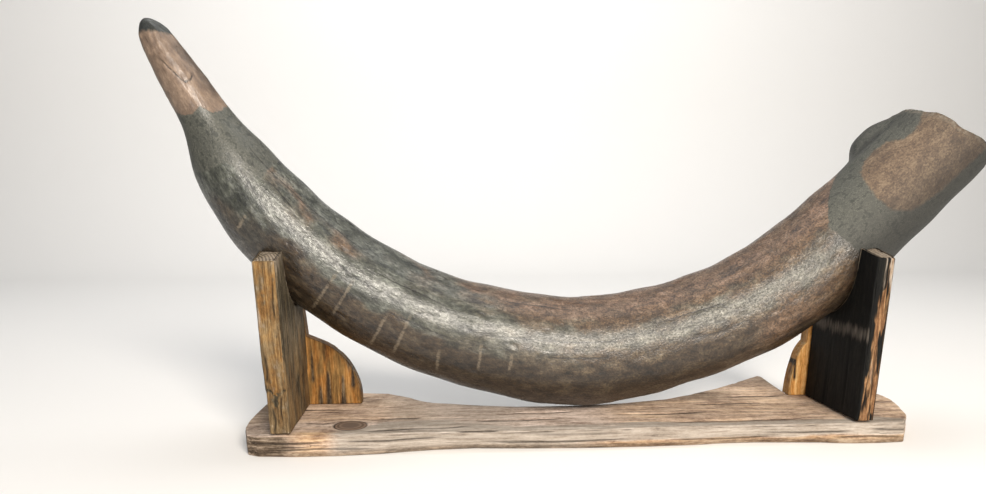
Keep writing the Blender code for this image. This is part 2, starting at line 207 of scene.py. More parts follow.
BASE_THICK = 0.029
BASE_ROUNDING = 0.004
BASE_ROWS = 420
BASE_STEPS = (88, 15)  # across the top and over an edge
BASE_LINES = (  # front x, front y, back x, back y, how far the lower front edge is worn
    (-0.017, 0.074, -0.015, 0.125, 0.000),
    (-0.014, 0.038, -0.012, 0.170, 0.001),
    (-0.005, 0.008, -0.003, 0.207, 0.002),
    (0.010, 0.001, 0.018, 0.228, 0.000),
    (0.060, 0.000, 0.066, 0.233, -0.004),
    (0.118, 0.000, 0.118, 0.217, -0.004),
    (0.170, 0.000, 0.168, 0.210, 0.000),
    (0.206, 0.001, 0.203, 0.183, 0.005),
    (0.240, 0.001, 0.238, 0.152, 0.010),
    (0.298, 0.001, 0.298, 0.136, 0.013),
    (0.365, 0.000, 0.365, 0.121, 0.008),
    (0.440, 0.000, 0.440, 0.120, 0.004),
    (0.530, 0.001, 0.526, 0.127, 0.002),
    (0.604, 0.001, 0.604, 0.147, 0.004),
    (0.640, 0.001, 0.646, 0.169, 0.008),
    (0.690, 0.001, 0.704, 0.202, 0.009),
    (0.742, 0.000, 0.769, 0.252, 0.006),
    (0.778, 0.000, 0.812, 0.285, 0.003),
    (0.786, 0.000, 0.815, 0.278, 0.002),
    (0.790, 0.000, 0.809, 0.221, 0.001),
    (0.794, 0.000, 0.804, 0.166, 0.000),
    (0.806, 0.000, 0.818, 0.184, -0.002),
    (0.826, 0.000, 0.838, 0.222, -0.004),
    (0.862, 0.000, 0.872, 0.242, -0.005),
    (0.899, 0.000, 0.912, 0.230, -0.003),
    (0.925, 0.034, 0.936, 0.196, 0.000),
    (0.943, 0.083, 0.950, 0.160, 0.001),
    (0.953, 0.118, 0.953, 0.139, 0.000),
)
FOOT = BASE_THICK + 0.0003  # the boards stand this high

UPRIGHT_DEPTH = 0.150
UPRIGHT_ROUNDING = 0.003
UPRIGHT_ROWS = 120
UPRIGHT_STEPS = (62, 14)
UPRIGHT_TOP_RINGS = 26
HACKED_DEPTH = 0.0009  # roughness of the tops
HORN_RISE = 0.010
HORN_RUN = 0.045
UPRIGHTS = {  # left side, thickness, height of the front of the top, lean per metre
    "left_upright": (0.0255, 0.030, 0.257, -0.022),
    "right_upright": (0.829, 0.025, 0.257, 0.012),
}
LEAN_HEIGHT = 0.22  # of a cradle above the foot
CRADLE_GAP = 0.0004
CRADLE_WORN = 0.002  # how softly the cradle runs into the sawn top
CRADLE_HIGHEST = 0.60  # above every cradle
CRADLE_TRIES = 60
CRADLE_PACE = 0.9  # share of the gap to the tusk that each try climbs
NEAREST_STEP = 0.004  # between the places on the axis that are tried first
NEAREST_FROM = 0.10  # the cradles lie further along than this
HORN_SPARE = 0.014  # how far a knee's horn may reach past its own height to the tusk

KNEE_FRONT = UPRIGHT_DEPTH + 0.0005
KNEE_THICK = 0.024
KNEE_ROUNDING = 0.0025
KNEE_STEPS = (56, 10)
SHOULDER_ROWS = 70
HORN_ROWS = 50
HORN_TRIES = 4
KNEE_TOP_RINGS = 14
KNEES = {  # x and z of the shoulder from the foot to the horn's root, of the horn and the back
    "left_knee": (
        ((0.132, FOOT), (0.131, 0.050), (0.123, 0.077), (0.108, 0.101), (0.087, 0.119),
         (0.066, 0.129), (0.0545, 0.134)),
        ((0.0545, 0.134), (0.051, 0.180), (0.046, 0.236)),
        ((-0.006, FOOT), (-0.009, 0.150), (-0.012, 0.250))),
    "right_knee": (
        ((0.804, FOOT), (0.806, 0.055), (0.811, 0.083), (0.818, 0.104), (0.826, 0.115)),
        ((0.826, 0.115), (0.828, 0.160), (0.832, 0.262)),
        ((0.876, FOOT), (0.880, 0.150), (0.882, 0.275))),
}

GROOVE_SIZE = 4 * MM
TOP_RELIEF = 0.0006
EDGE_RELIEF = 0.0008  # more than on the top
PLANK_RELIEF = 0.0008
TORN_DEPTH = 0.0016
CHECK_DEPTH = 0.0015
CHECK_WIDTH = 0.0016
TOP_GRAIN = 0.45  # the base's flat-sawn top shows its grain this much wider than its edge
CORNER_WEAR = 1.2 * MM
KNOT_PLACE = (0.127, 0.043)
KNOT_SIZE = (0.022, 0.021)
KNOT_PUSH = 0.85  # how strongly the grain lines bulge round the knot
KNOT_RING_DEPTH = 0.0008
BASE_CHECK_DEPTH = 0.0014
BASE_CHECK_WIDTH = 0.0022
BASE_FRONT = 0.10  # the front edge lies nearer than this, the back edge further
# Patches on the base: x, y, half length, half width, share.
BASE_WARM = ((0.078, 0.008, 0.046, 0.026, 0.66), (0.555, 0.052, 0.045, 0.008, 0.62))
BASE_STAINS = ((0.145, 0.165, 0.045, 0.040, 0.50), (0.67, 0.165, 0.06, 0.035, 0.60))
BASE_CHECKS = (  # long cracks in the base's top: x, y
    ((0.134, 0.013), (0.166, 0.018), (0.210, 0.023), (0.250, 0.025), (0.300, 0.030)),
    ((0.060, 0.058), (0.075, 0.057), (0.100, 0.055)),
    ((0.150, 0.070), (0.190, 0.074), (0.230, 0.072)),
    ((0.350, 0.088), (0.400, 0.084), (0.450, 0.087)),
    ((0.290, 0.052), (0.360, 0.050), (0.430, 0.054)),
    ((0.268, 0.006), (0.300, 0.005), (0.335, 0.006)),
    ((0.500, 0.070), (0.580, 0.066), (0.650, 0.071)),
    ((0.560, 0.028), (0.660, 0.030), (0.780, 0.027)),
    ((0.620, 0.110), (0.700, 0.114), (0.790, 0.112)),
    ((0.690, 0.150), (0.750, 0.153), (0.800, 0.150)),
    ((0.860, 0.110), (0.900, 0.112), (0.940, 0.110)),
    ((0.860, 0.190), (0.890, 0.192), (0.920, 0.190)),
    ((0.010, 0.120), (0.060, 0.124), (0.130, 0.120)),
    ((0.020, 0.185), (0.080, 0.188), (0.150, 0.184)),
)
EDGE_CHECKS = (  # long cracks in the base's front edge: x, height
    ((-0.010, 0.019), (0.040, 0.017), (0.100, 0.019)),
    ((0.020, 0.009), (0.090, 0.011), (0.170, 0.008)),
    ((0.110, 0.020), (0.180, 0.018), (0.260, 0.021)),
    ((0.300, 0.012), (0.400, 0.010), (0.520, 0.013)),
    ((0.560, 0.010), (0.640, 0.008), (0.720, 0.010)),
    ((0.690, 0.018), (0.760, 0.016), (0.830, 0.018)),
    ((0.790, 0.009), (0.850, 0.010), (0.910, 0.008)),
    ((0.845, 0.020), (0.900, 0.018), (0.950, 0.019)),
)
CREVICE_HEIGHT = 0.089
LEFT_CHECKS = (  # cracks down the front of the left plank: height, distance from its left side
    ((0.030, 0.008), (0.048, 0.011), (0.070, 0.009)),
    ((0.046, 0.021), (0.062, 0.019), (0.086, 0.022)),
    ((0.098, 0.005), (0.120, 0.006), (0.140, 0.005)),
    ((0.180, 0.023), (0.205, 0.022), (0.236, 0.024)),
)
RIGHT_CHECKS = (  # cracks down the front of the right plank
    ((0.030, 0.006), (0.090, 0.009), (0.150, 0.010)),
    ((0.050, 0.016), (0.110, 0.015), (0.160, 0.018)),
    ((0.180, 0.011), (0.215, 0.012), (0.250, 0.014)),
    ((0.170, 0.020), (0.210, 0.020), (0.252, 0.019)),
)
# Bare strip down the right plank: height, and where across the plank it starts.
BARE_STRIP = ((0.03, 0.08), (0.10, 0.20), (0.17, 0.32), (0.212, 0.46), (0.222, 0.72), (0.26, 0.80))
# A paler band painted across the right plank's black inner face where light reaches it: height and width.
PAINTED_LIGHT_BAND_HEIGHT = 0.152
PAINTED_LIGHT_BAND_WIDTH = 0.018
KNEE_STREAKS = (  # x, half width, lowest, highest
    (0.083, 0.0035, 0.032, 0.088), (0.1045, 0.0030, 0.032, 0.080), (0.120, 0.0022, 0.060, 0.095),
    (0.070, 0.0025, 0.032, 0.060), (0.060, 0.0020, 0.070, 0.118),
    (0.811, 0.0018, 0.060, 0.100), (0.840, 0.0030, 0.032, 0.090), (0.858, 0.0030, 0.050, 0.110),
)


# ---- Numbers, noise and meshes ---------------------------------------------

def linear(hex_colour):
    """The hex colour's red, green and blue as linear light, with full cover."""
    parts = [int(hex_colour[k:k + 2], 16) / 255 for k in (1, 3, 5)]
    light = [p / 12.92 if p <= 0.04045 else ((p + 0.055) / 1.055) ** 2.4 for p in parts]
    return (*light, 1.0)


def step(low, high, value):
    """0 up to low, 1 from high on, and 3t^2 - 2t^3 between them."""
    t = np.clip((value - low) / (high - low), 0.0, 1.0)
    return t * t * (3.0 - 2.0 * t)


def hill(distance, width, power=2):
    """exp(-|distance / width| ^ power): 1 in the middle, a third at the width."""
    return np.exp(-np.abs(distance / width) ** power)


def strongest(*values):
    """The largest of the values at each place."""
    return functools.reduce(np.maximum, values)


def blotches(spots, along, across):
    """The strongest of the spots at each place: middle along and across, widths, share."""
    return strongest(*[
        share * hill(along - middle, long) * hill(across - centre, wide)
        for middle, centre, long, wide, share in spots])


def lattice(cells):
    """A repeatable number from -1 to 1 for each whole-numbered cell, from mixed bits."""
    x, y, z = (cells[..., k].astype(np.int64) for k in range(3))
    mixed = ((x * 73856093) ^ (y * 19349663) ^ (z * 83492791)) & 0x7FFFFFFF
    mixed = ((mixed ^ (mixed >> 13)) * 1274126177) & 0x7FFFFFFF
    mixed = ((mixed ^ (mixed >> 11)) * 668265263) & 0x7FFFFFFF
    return (mixed ^ (mixed >> 15)) / 0x3FFFFFFF - 1.0


def noise(points, size, octaves=3, seed=0):
    """Smooth noise round 0: cell corners blended along each axis, from -1 to 1 in the first
    octave and half as much in each next one.

    size is one length, or three for a noise drawn out along an axis."""
    total = 0.0
    scaled = np.asarray(points) / np.asarray(size) + 17.3 * seed
    for octave in range(octaves):
        cell = np.floor(scaled)
        t = scaled - cell
        t = t * t * (3.0 - 2.0 * t)
        for corner in np.ndindex(2, 2, 2):
            weight = np.prod(np.where(np.array(corner) == 1, t, 1.0 - t), axis=-1)
            total = total + 0.5 ** octave * weight * lattice(cell + corner)
        scaled = scaled * 2.03 + 5.7
    return total


def spline(knots, values, at):
    """Cubic through the values with an even bend at every knot, straight at the ends."""
    gaps = np.diff(knots)
    slopes = np.diff(values, axis=0) / gaps[:, None]
    system = np.eye(len(knots))
    right_side = np.zeros_like(values)
    for k in range(1, len(knots) - 1):
        system[k, k - 1:k + 2] = gaps[k - 1], 2 * (gaps[k - 1] + gaps[k]), gaps[k]
        right_side[k] = 6 * (slopes[k] - slopes[k - 1])
    bend = np.linalg.solve(system, right_side)
    at = np.asarray(at, dtype=float)
    k = np.clip(np.searchsorted(knots, at) - 1, 0, len(gaps) - 1)
    gap = gaps[k][..., None]
    t = (at - knots[k])[..., None]
    rate = slopes[k] - gap * (2 * bend[k] + bend[k + 1]) / 6
    return values[k] + t * (rate + t * (bend[k] / 2 + t * (bend[k + 1] - bend[k]) / (6 * gap)))


def linked(name, data):
    """An object of the data, linked into the scene."""
    made = bpy.data.objects.new(name, data)
    bpy.context.scene.collection.objects.link(made)
    return made


def tube(name, rings, attributes, material, node):
    """The finished piece through rings of points: quads between rings, a fan over each end.

    rings is rows by sides by 3, and each attribute rows by sides, or rows by sides by 3."""
    rows, sides = rings.shape[:2]
    k = np.arange(sides)
    after = (k + 1) % sides
    row = np.arange(rows - 1)[:, None] * sides
    quads = np.stack((row + k, row + after, row + sides + after, row + sides + k), axis=-1)
    last = (rows - 1) * sides
    first_fan = np.stack((after, k, np.full(sides, rows * sides)), axis=-1)
    last_fan = np.stack((last + k, last + after, np.full(sides, rows * sides + 1)), axis=-1)
    faces = quads.reshape(-1, 4).tolist() + first_fan.tolist() + last_fan.tolist()

    def with_poles(values):
        flat = values.reshape(rows * sides, -1)
        return np.concatenate((flat, flat[:sides].mean(0)[None], flat[last:].mean(0)[None]))

    mesh = bpy.data.meshes.new(name)
    mesh.from_pydata(with_poles(rings + CORNER), (), faces)
    for title, values in attributes.items():
        kind = "FLOAT_VECTOR" if values.ndim == 3 else "FLOAT"
        stored = mesh.attributes.new(title, kind, "POINT")
        stored.data.foreach_set("vector" if values.ndim == 3 else "value", with_poles(values).ravel())
    mesh.shade_smooth()
    mesh.update()
    piece = linked(name, mesh)
    mesh.materials.append(material)
    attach(piece, "root")
    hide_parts(node)
    return piece


# ---- Tusk surface ----------------------------------------------------------

stations = np.array(TUSK_STATIONS)
station_gaps = np.linalg.norm(np.diff(stations[:, :3], axis=0), axis=1)
station_lengths = np.concatenate(([0.0], np.cumsum(station_gaps)))
TUSK_LENGTH = station_lengths[-1]


def tusk_axis(length):
    """Centre, direction, the directions to the inside of the bend and the front, radius."""
    found = spline(station_lengths, stations, length)
    along = (spline(station_lengths, stations, length + AXIS_STEP) - found)[..., :3]
    along /= np.linalg.norm(along, axis=-1, keepdims=True)
    inner = np.stack((-along[..., 2], 0 * along[..., 1], along[..., 0]), axis=-1)
    inner /= np.linalg.norm(inner, axis=-1, keepdims=True)
    front = np.cross(along, inner)
    return found[..., :3], along, inner, front, found[..., 3]


def tusk_radius(length, angle, radius):
    """Radius with the closed tip, the flutes, the growth waves, the sagging bend and the
    root's knob."""
    closing = np.clip(length / TIP_ROUNDING, 0.0, 1.0)
    shape = radius * np.sqrt(1.0 - (1.0 - closing) ** 2)
    for count, height, phase, twist in FLUTES:
        shape += height * closing * np.cos(count * angle + phase + twist * length)
    wave = np.sin(2 * math.pi * length / GROWTH_BAND + GROWTH_SKEW * np.sin(angle))
    shape += GROWTH_HEIGHT * closing * wave
    below = hill(math.pi - np.abs(angle), SAG_WIDTH)
    shape += SAG_DEPTH * below * hill(length - SAG_PLACE, SAG_LENGTH)
    on_knob = hill(length - (TUSK_LENGTH - KNOB_FROM_ROOT), KNOB_LENGTH, 3)
    shape += KNOB_HEIGHT * on_knob * hill(angle - KNOB_ANGLE, KNOB_WIDTH)
    shape -= CREASE_DEPTH * on_knob * hill(angle - CREASE_ANGLE, CREASE_WIDTH)
    return shape


def break_length(angle):
    """Where the broken end lies at each angle: slanted and ragged."""
    ragged = sum(height * np.sin(count * angle + phase) for count, height, phase in BREAK_WAVES)
    return TUSK_LENGTH - BREAK_SLANT * np.cos(angle) + ragged


def edge_at(edge, angle):
    """Where the edge of a finish crosses each angle, straight between its points."""
    degrees, places = np.array(edge).T
    return np.interp(np.degrees(angle), degrees, places)


def inside_by(outline, length, angle):
    """How far inside the outline a place lies, in metres; outside it is negative.

    The distance is to the nearest side, and inside means an odd count of sides
    crossed on the way out."""
    corners = np.array([(place, math.radians(turn) * BODY_RADIUS) for place, turn in outline])
    ends = np.roll(corners, -1, axis=0)
    here = np.stack((length, angle * BODY_RADIUS), axis=-1)[..., None, :]
    side = ends - corners
    share = np.clip(((here - corners) * side).sum(-1) / (side ** 2).sum(-1), 0.0, 1.0)
    nearest = np.linalg.norm(here - corners - share[..., None] * side, axis=-1).min(axis=-1)
    straddles = (corners[:, 1] > here[..., 1]) != (ends[:, 1] > here[..., 1])
    crossing = corners[:, 0] + (here[..., 1] - corners[:, 1]) * side[:, 0] / (side[:, 1] + 1e-12)
    inside = (straddles & (here[..., 0] < crossing)).sum(axis=-1) % 2 == 1
    return np.where(inside, nearest, -nearest)


def tusk_depth(points):
    """How far each point lies outside the tusk: distance from its axis less the radius."""
    lengths = np.arange(NEAREST_FROM, TUSK_LENGTH, NEAREST_STEP)
    centres, along = tusk_axis(lengths)[:2]
    away = points[:, None, :] - centres
    k = np.argmin((away ** 2).sum(-1), axis=1)
    picked = np.arange(len(points))
    length = lengths[k] + (away[picked, k] * along[k]).sum(-1)
    centre, _, inner, front, radius = tusk_axis(length)
    spoke = points - centre
    angle = np.arctan2((spoke * front).sum(-1), (spoke * inner).sum(-1))
    return np.linalg.norm(spoke, axis=-1) - tusk_radius(length, angle, radius)


def under_tusk(x, y):
    """Height at which a line straight up from the base meets the tusk, or the highest: the
    point climbs by most of its gap to the tusk, again and again."""
    points = np.stack((x.ravel(), y.ravel(), np.full(x.size, FOOT)), axis=-1)
    for _ in range(CRADLE_TRIES):
        climbed = points[:, 2] + CRADLE_PACE * tusk_depth(points) - CRADLE_GAP
        points[:, 2] = np.minimum(climbed, CRADLE_HIGHEST)
    return points[:, 2].reshape(x.shape)


def nearest_line(lines, along, across, found=None):
    """Signed gap from each place to the nearest drawn line, and the line's strength there.

    A line is points (along, across) with along rising.  The gap is measured square to
    the line, and the strength fades over the line's last fifth and away from it."""
    best, strength = found or (np.ones_like(along), np.zeros_like(along))
    for points in lines:
        knots, values = np.array(points).T
        slope = np.interp(along, knots, np.gradient(values, knots))
        gap = (across - np.interp(along, knots, values)) / np.sqrt(1 + slope ** 2)
        fade = (knots[-1] - knots[0]) / 5
        here = step(knots[0], knots[0] + fade, along) * step(knots[-1], knots[-1] - fade, along)
        here = here * step(LINE_REACH, LINE_REACH / 2, np.abs(gap))
        nearer = (np.abs(gap) < np.abs(best)) & (here > 0)
        best = np.where(nearer, gap, best)
        strength = np.where(nearer, here, strength)
    return best, strength


def round_the_tusk(lines, radius):
    """Lines given as (degrees round the tusk, place along it), in metres round and along."""
    return [[(math.radians(turn) * radius, place) for turn, place in line] for line in lines]


def tusk_tones(straight, length, degrees):
    """Shares of brown, of tan and of darkness: smooth zones along and round the tusk, ragged
    with noise.  Grey-green towards the tip, tan inside the bend, brown underneath.  The
    darkness is painted shade underneath, under the tusk beside the left board, round the knob
    and in its crease, and elsewhere darker clouds and patches; a paler, greyer band is painted
    where the highlight falls."""
    ragged = noise(straight, (0.050, 0.028, 0.028), 3, 61)
    patchy = noise(straight, (0.030, 0.012, 0.012), 3, 62)
    place = length + TONES_STRAY * ragged
    turn = degrees + TONES_TURN * patchy
    # A paler, greyer band painted where the highlight falls: less brown and fewer dark clouds.
    painted_highlight = hill(turn - HIGHLIGHT_BAND_ANGLE, HIGHLIGHT_BAND_WIDTH)
    behind = step(-125, -160, turn)
    brown = strongest(
        step(0.22, 0.34, place) * strongest(step(86, 104, turn), behind),
        step(0.46, 0.80, place) * (1 - 0.75 * painted_highlight))
    inside_bend = step(0.55, 0.66, place) * step(60, 36, turn) * step(-150, -100, turn)
    golden_along = hill(place - GOLDEN_PLACE, GOLDEN_LENGTH)
    tan = strongest(
        inside_bend * (0.70 + 0.5 * patchy), 0.8 * golden_along * hill(turn - 110, 20),
        blotches(TUSK_STAINS, place, degrees + 6 * patchy))
    golden = golden_along * hill(turn - 108, 18)
    near_board = step(0.22, 0.24, length) * step(0.36, 0.28, place)
    flank = step(58, 34, turn) * step(0.30, 0.38, place) * step(0.64, 0.50, place)
    clouds = step(0.10, 0.9, patchy) * step(0.75, 0.45, place)
    # Painted shade underneath and behind the underside, and under the tusk beside the left board; darker
    # towards the back, on the upper flank and in clouds.
    dark = strongest(
        0.90 * strongest(step(78, 112, turn), behind) * (1 - 0.7 * golden),
        0.65 * near_board * step(84, 100, turn), 0.4 * step(-5, -40, turn), 0.24 * flank,
        0.55 * clouds * (1 - 0.8 * painted_highlight))
    dark = dark * (0.30 + 0.70 * step(0.17, 0.30, length))
    beside_patch = step(52, 20, turn) * step(0.134, 0.100, length) * step(0.03, 0.05, length)
    dark = strongest(dark, 0.70 * beside_patch)
    # At the root the underside is painted darker as shade.
    below = strongest(step(40, 112, degrees), step(-130, -170, degrees))
    at_root = strongest(dark * step(85, 105, np.abs(turn)), 1.05 * below)
    by_rim = step(1.335, 1.380, length + 0.012 * patchy) * step(105, 80, degrees)
    # Painted shade round the knob and dark in its crease; darker by the broken rim.
    dark = strongest(
        np.where(length > ROOT_FROM, at_root, dark), blotches(KNOB_SHADE, length, degrees),
        hill(length - CREASE_PLACE, 0.030, 4) * hill(degrees + 16, 4), 0.42 * by_rim)
    return np.clip(np.stack((brown, tan, dark), axis=-1), 0.0, 1.0)


def tusk_finishes(length, angle):
    """How far inside each finish a place lies, in metres: negative outside it."""
    return {
        "cap": edge_at(CAP_EDGE, angle) - length,
        "patch": edge_at(PATCH_EDGE, angle) - length,
        "filler": strongest(edge_at(FILL_EDGE, angle) - length, length - edge_at(ROOT_EDGE, angle)),
        "tan": strongest(*[inside_by(outline, length, angle) for outline in TAN_OUTLINES]),
    }


def tusk_lines(length, angle):
    """Gap to the nearest crack and its strength, and the same for the scrapes."""
    lengthwise = [
        [(place, math.radians(turn) * BODY_RADIUS) for place, turn in line] for line in LONG_CRACKS]
    crack = nearest_line(lengthwise, length, angle * BODY_RADIUS)
    crack = nearest_line(round_the_tusk(TIP_CRACKS, TIP_RADIUS), angle * TIP_RADIUS, length, crack)
    scrape = nearest_line(round_the_tusk(SCRAPES, BODY_RADIUS), angle * BODY_RADIUS, length)
    return crack, scrape


def tusk_relief(straight, length, finishes, crack, rim):
    """Relief, taken inwards: unevenness, fibres, grains, pits, steps between the finishes,
    cracks and the chipped rim, fading out over the closed tip."""
    patch, tan = finishes["patch"], finishes["tan"]
    natural = step(0.0, 0.010, -finishes["filler"])

    def rough(height, long, wide, seed):
        """Noise of a height, drawn out along the tusk."""
        return height * noise(straight, (long, wide, wide), 2, seed)

    uneven = rough(0.0005, 0.055, 0.055, 1) + rough(0.0004, 0.060, 0.012, 2)
    fibres = rough(0.00018, 0.045, 0.0055, 3)
    grains = rough(0.00022, 0.009, 0.006, 9) * step(0.45, 0.90, length)
    pits = 0.0010 * step(0.40, 0.9, rough(1.0, 0.022, 0.007, 4))
    relief = TUSK_ALLOWANCE + uneven * (0.4 + 0.6 * natural) - (fibres + grains - pits) * natural
    relief += 0.0007 * step(-MM, MM, tan)
    relief += 0.0004 * step(-MM, MM, patch)
    relief += rough(0.0004, 0.012, 0.004, 5) * step(0.0, 0.004, patch)
    relief += rough(0.0005, 0.006, 0.006, 6) * step(0.0, 0.004, tan)
    relief += CRACK_DEPTH * crack[1] * hill(crack[0], CRACK_WIDTH)
    relief += rim * (0.0010 + 0.0012 * noise(straight, 0.009, 3, 7))
    return np.maximum(relief, 0.0) * np.clip(0.3 + length / TIP_ROUNDING, 0.0, 1.0)


def make_tusk():
    """Rings from the closed tip to the broken end, then inwards over the stepped break.

    Each point is the centre of its ring plus the radius, less the relief, along
    its spoke; over the break it also sinks back along the axis."""
    angle = np.linspace(-math.pi, math.pi, TUSK_SIDES, endpoint=False)[None, :]
    tip = TIP_ROUNDING * (1 - np.cos(np.linspace(TIP_START, math.pi / 2, TIP_ROWS, endpoint=False)))
    rows = np.concatenate((tip, np.linspace(TIP_ROUNDING, TUSK_LENGTH, TUSK_ROWS)))[:, None]
    late = np.clip(1.0 - (1.0 - rows / TUSK_LENGTH) / BREAK_SHARE, 0.0, 1.0) ** 2
    length = rows + late * (break_length(angle) - TUSK_LENGTH)
    inward = np.linspace(1.0, 0.0, BREAK_ROWS + 1)[1:-1, None]
    length = np.concatenate((length, np.broadcast_to(length[-1:], (len(inward), TUSK_SIDES))))
    share = np.concatenate((np.ones_like(rows), inward)) * np.ones_like(angle)
    angle = angle * np.ones_like(length)
    degrees = np.degrees(angle)

    centre, along, inner, front, radius = tusk_axis(length)
    spoke = np.cos(angle)[..., None] * inner + np.sin(angle)[..., None] * front
    reach = tusk_radius(length, angle, radius)
    straight = np.stack((length, reach * share * np.cos(angle), reach * share * np.sin(angle)), axis=-1)
    finishes = tusk_finishes(length, angle)
    crack, scrape = tusk_lines(length, angle)
    rim = step(RIM_WIDTH, 0.0, break_length(angle) - length)
    relief = tusk_relief(straight, length, finishes, crack, rim)
    points = centre + ((reach - relief) * share)[..., None] * spoke

    depth = BREAK_DISH * (1 - share ** 2)
    for edge, ledge in BREAK_LEDGES:
        depth = depth - ledge * step(edge + LEDGE_WIDTH, edge - LEDGE_WIDTH, share)
    broken = step(1.0, 0.97, share)
    depth = depth + broken * 0.0016 * (1.0 + noise(straight, 0.012, 3, 8))
    points = points - (depth * broken)[..., None] * along

    nothing = np.zeros_like(length)
    chipped = rim * step(-30, -10, degrees) * step(125, 105, degrees)
    attributes = {
        "straight": straight, "tone": tusk_tones(straight, length, degrees), **finishes,
        "crack": np.stack((*crack, nothing), axis=-1),
        "scrape": np.stack((*scrape, nothing), axis=-1),
        "end": np.stack((broken, chipped, nothing), axis=-1),
    }
    return tube("fossil_tusk", points, attributes, fossil_ivory(), "tusk")


# ---- Board surfaces --------------------------------------------------------

def rounded_section(rounding, across_steps, thick_steps, corner_steps=4):
    """Once round a board's section: shares of its width and thickness, offsets from
    those, and the way out.  Sides run straight and corners are quarter circles."""
    turn = np.linspace(0.0, math.pi / 2, corner_steps + 2)[1:-1]
    section = []
    for side, steps in enumerate((across_steps, thick_steps) * 2):
        forward, far, is_across = side < 2, side in (1, 2), side % 2 == 0
        share = np.linspace(0.0, 1.0, steps)
        share = share if forward else 1.0 - share
        nothing = np.zeros_like(share)
        run = (share, rounding * (1.0 - 2.0 * share))
        level = (nothing + far, nothing)
        out = nothing + (1.0 if far else -1.0)
        section.append((*run, *level, nothing, out) if is_across else (*level, *run, out, nothing))
        bends = (np.sin(turn), np.cos(turn)) if is_across else (np.cos(turn), np.sin(turn))
        signs = (1.0 if forward else -1.0, 1.0 if far else -1.0)
        nothing = np.zeros_like(turn)
        section.append((
            nothing + forward, -signs[0] * rounding * (1.0 - bends[0]),
            nothing + far, -signs[1] * rounding * (1.0 - bends[1]),
            signs[0] * bends[0], signs[1] * bends[1]))
    return [np.concatenate(column) for column in zip(*section)]


def drawn_in(distance, rounding):
    """How far a quarter-round edge has drawn in at a distance from the board's end."""
    inside = np.clip(rounding - distance, 0.0, rounding)
    return rounding - np.sqrt(rounding ** 2 - inside ** 2)


def end_rows(count, length, rounding):
    """Places along a board from end to end, close together where its ends are rounded."""
    curve = rounding * (1 - np.cos(np.linspace(0.0, math.pi / 2, 6, endpoint=False)))
    middle = np.linspace(rounding, length - rounding, count)
    return np.concatenate((curve, middle, length - curve[::-1]))


def timber_relief(grain, seed, depth, corner):
    """Weathered relief, taken inwards: grooves and cracks drawn out along the grain, dents,
    and corners rubbed away unevenly."""
    grooves = noise(grain, np.array((24.0, 1.0, 1.0)) * GROOVE_SIZE, 3, seed)
    cracks = step(0.5, 0.95, noise(grain, np.array((20.0, 1.0, 1.0)) * 2.2 * GROOVE_SIZE, 2, seed + 1))
    dents = noise(grain, (0.060, 0.030, 0.030), 2, seed + 2)
    rubbed = corner * CORNER_WEAR * (0.8 + 1.1 * noise(grain, (0.022, 0.012, 0.012), 2, seed + 3))
    return np.maximum(depth * (0.55 + 0.35 * grooves + 1.5 * cracks + 0.35 * dents) + rubbed, 0.0)


def board_attributes(grain, bleach_and_painted_light, stain_and_shade, warm, check, hollow, knot, cut):
    """The attributes that every board's finish reads, as one dictionary."""
    return {
        "grain": grain, "wear_painted_light_and_shade": np.clip(np.stack((bleach_and_painted_light, stain_and_shade, warm), axis=-1), 0.0, 1.0),
        "check": np.stack((*check, hollow / MM), axis=-1), "knot": knot, "cut": cut,
    }


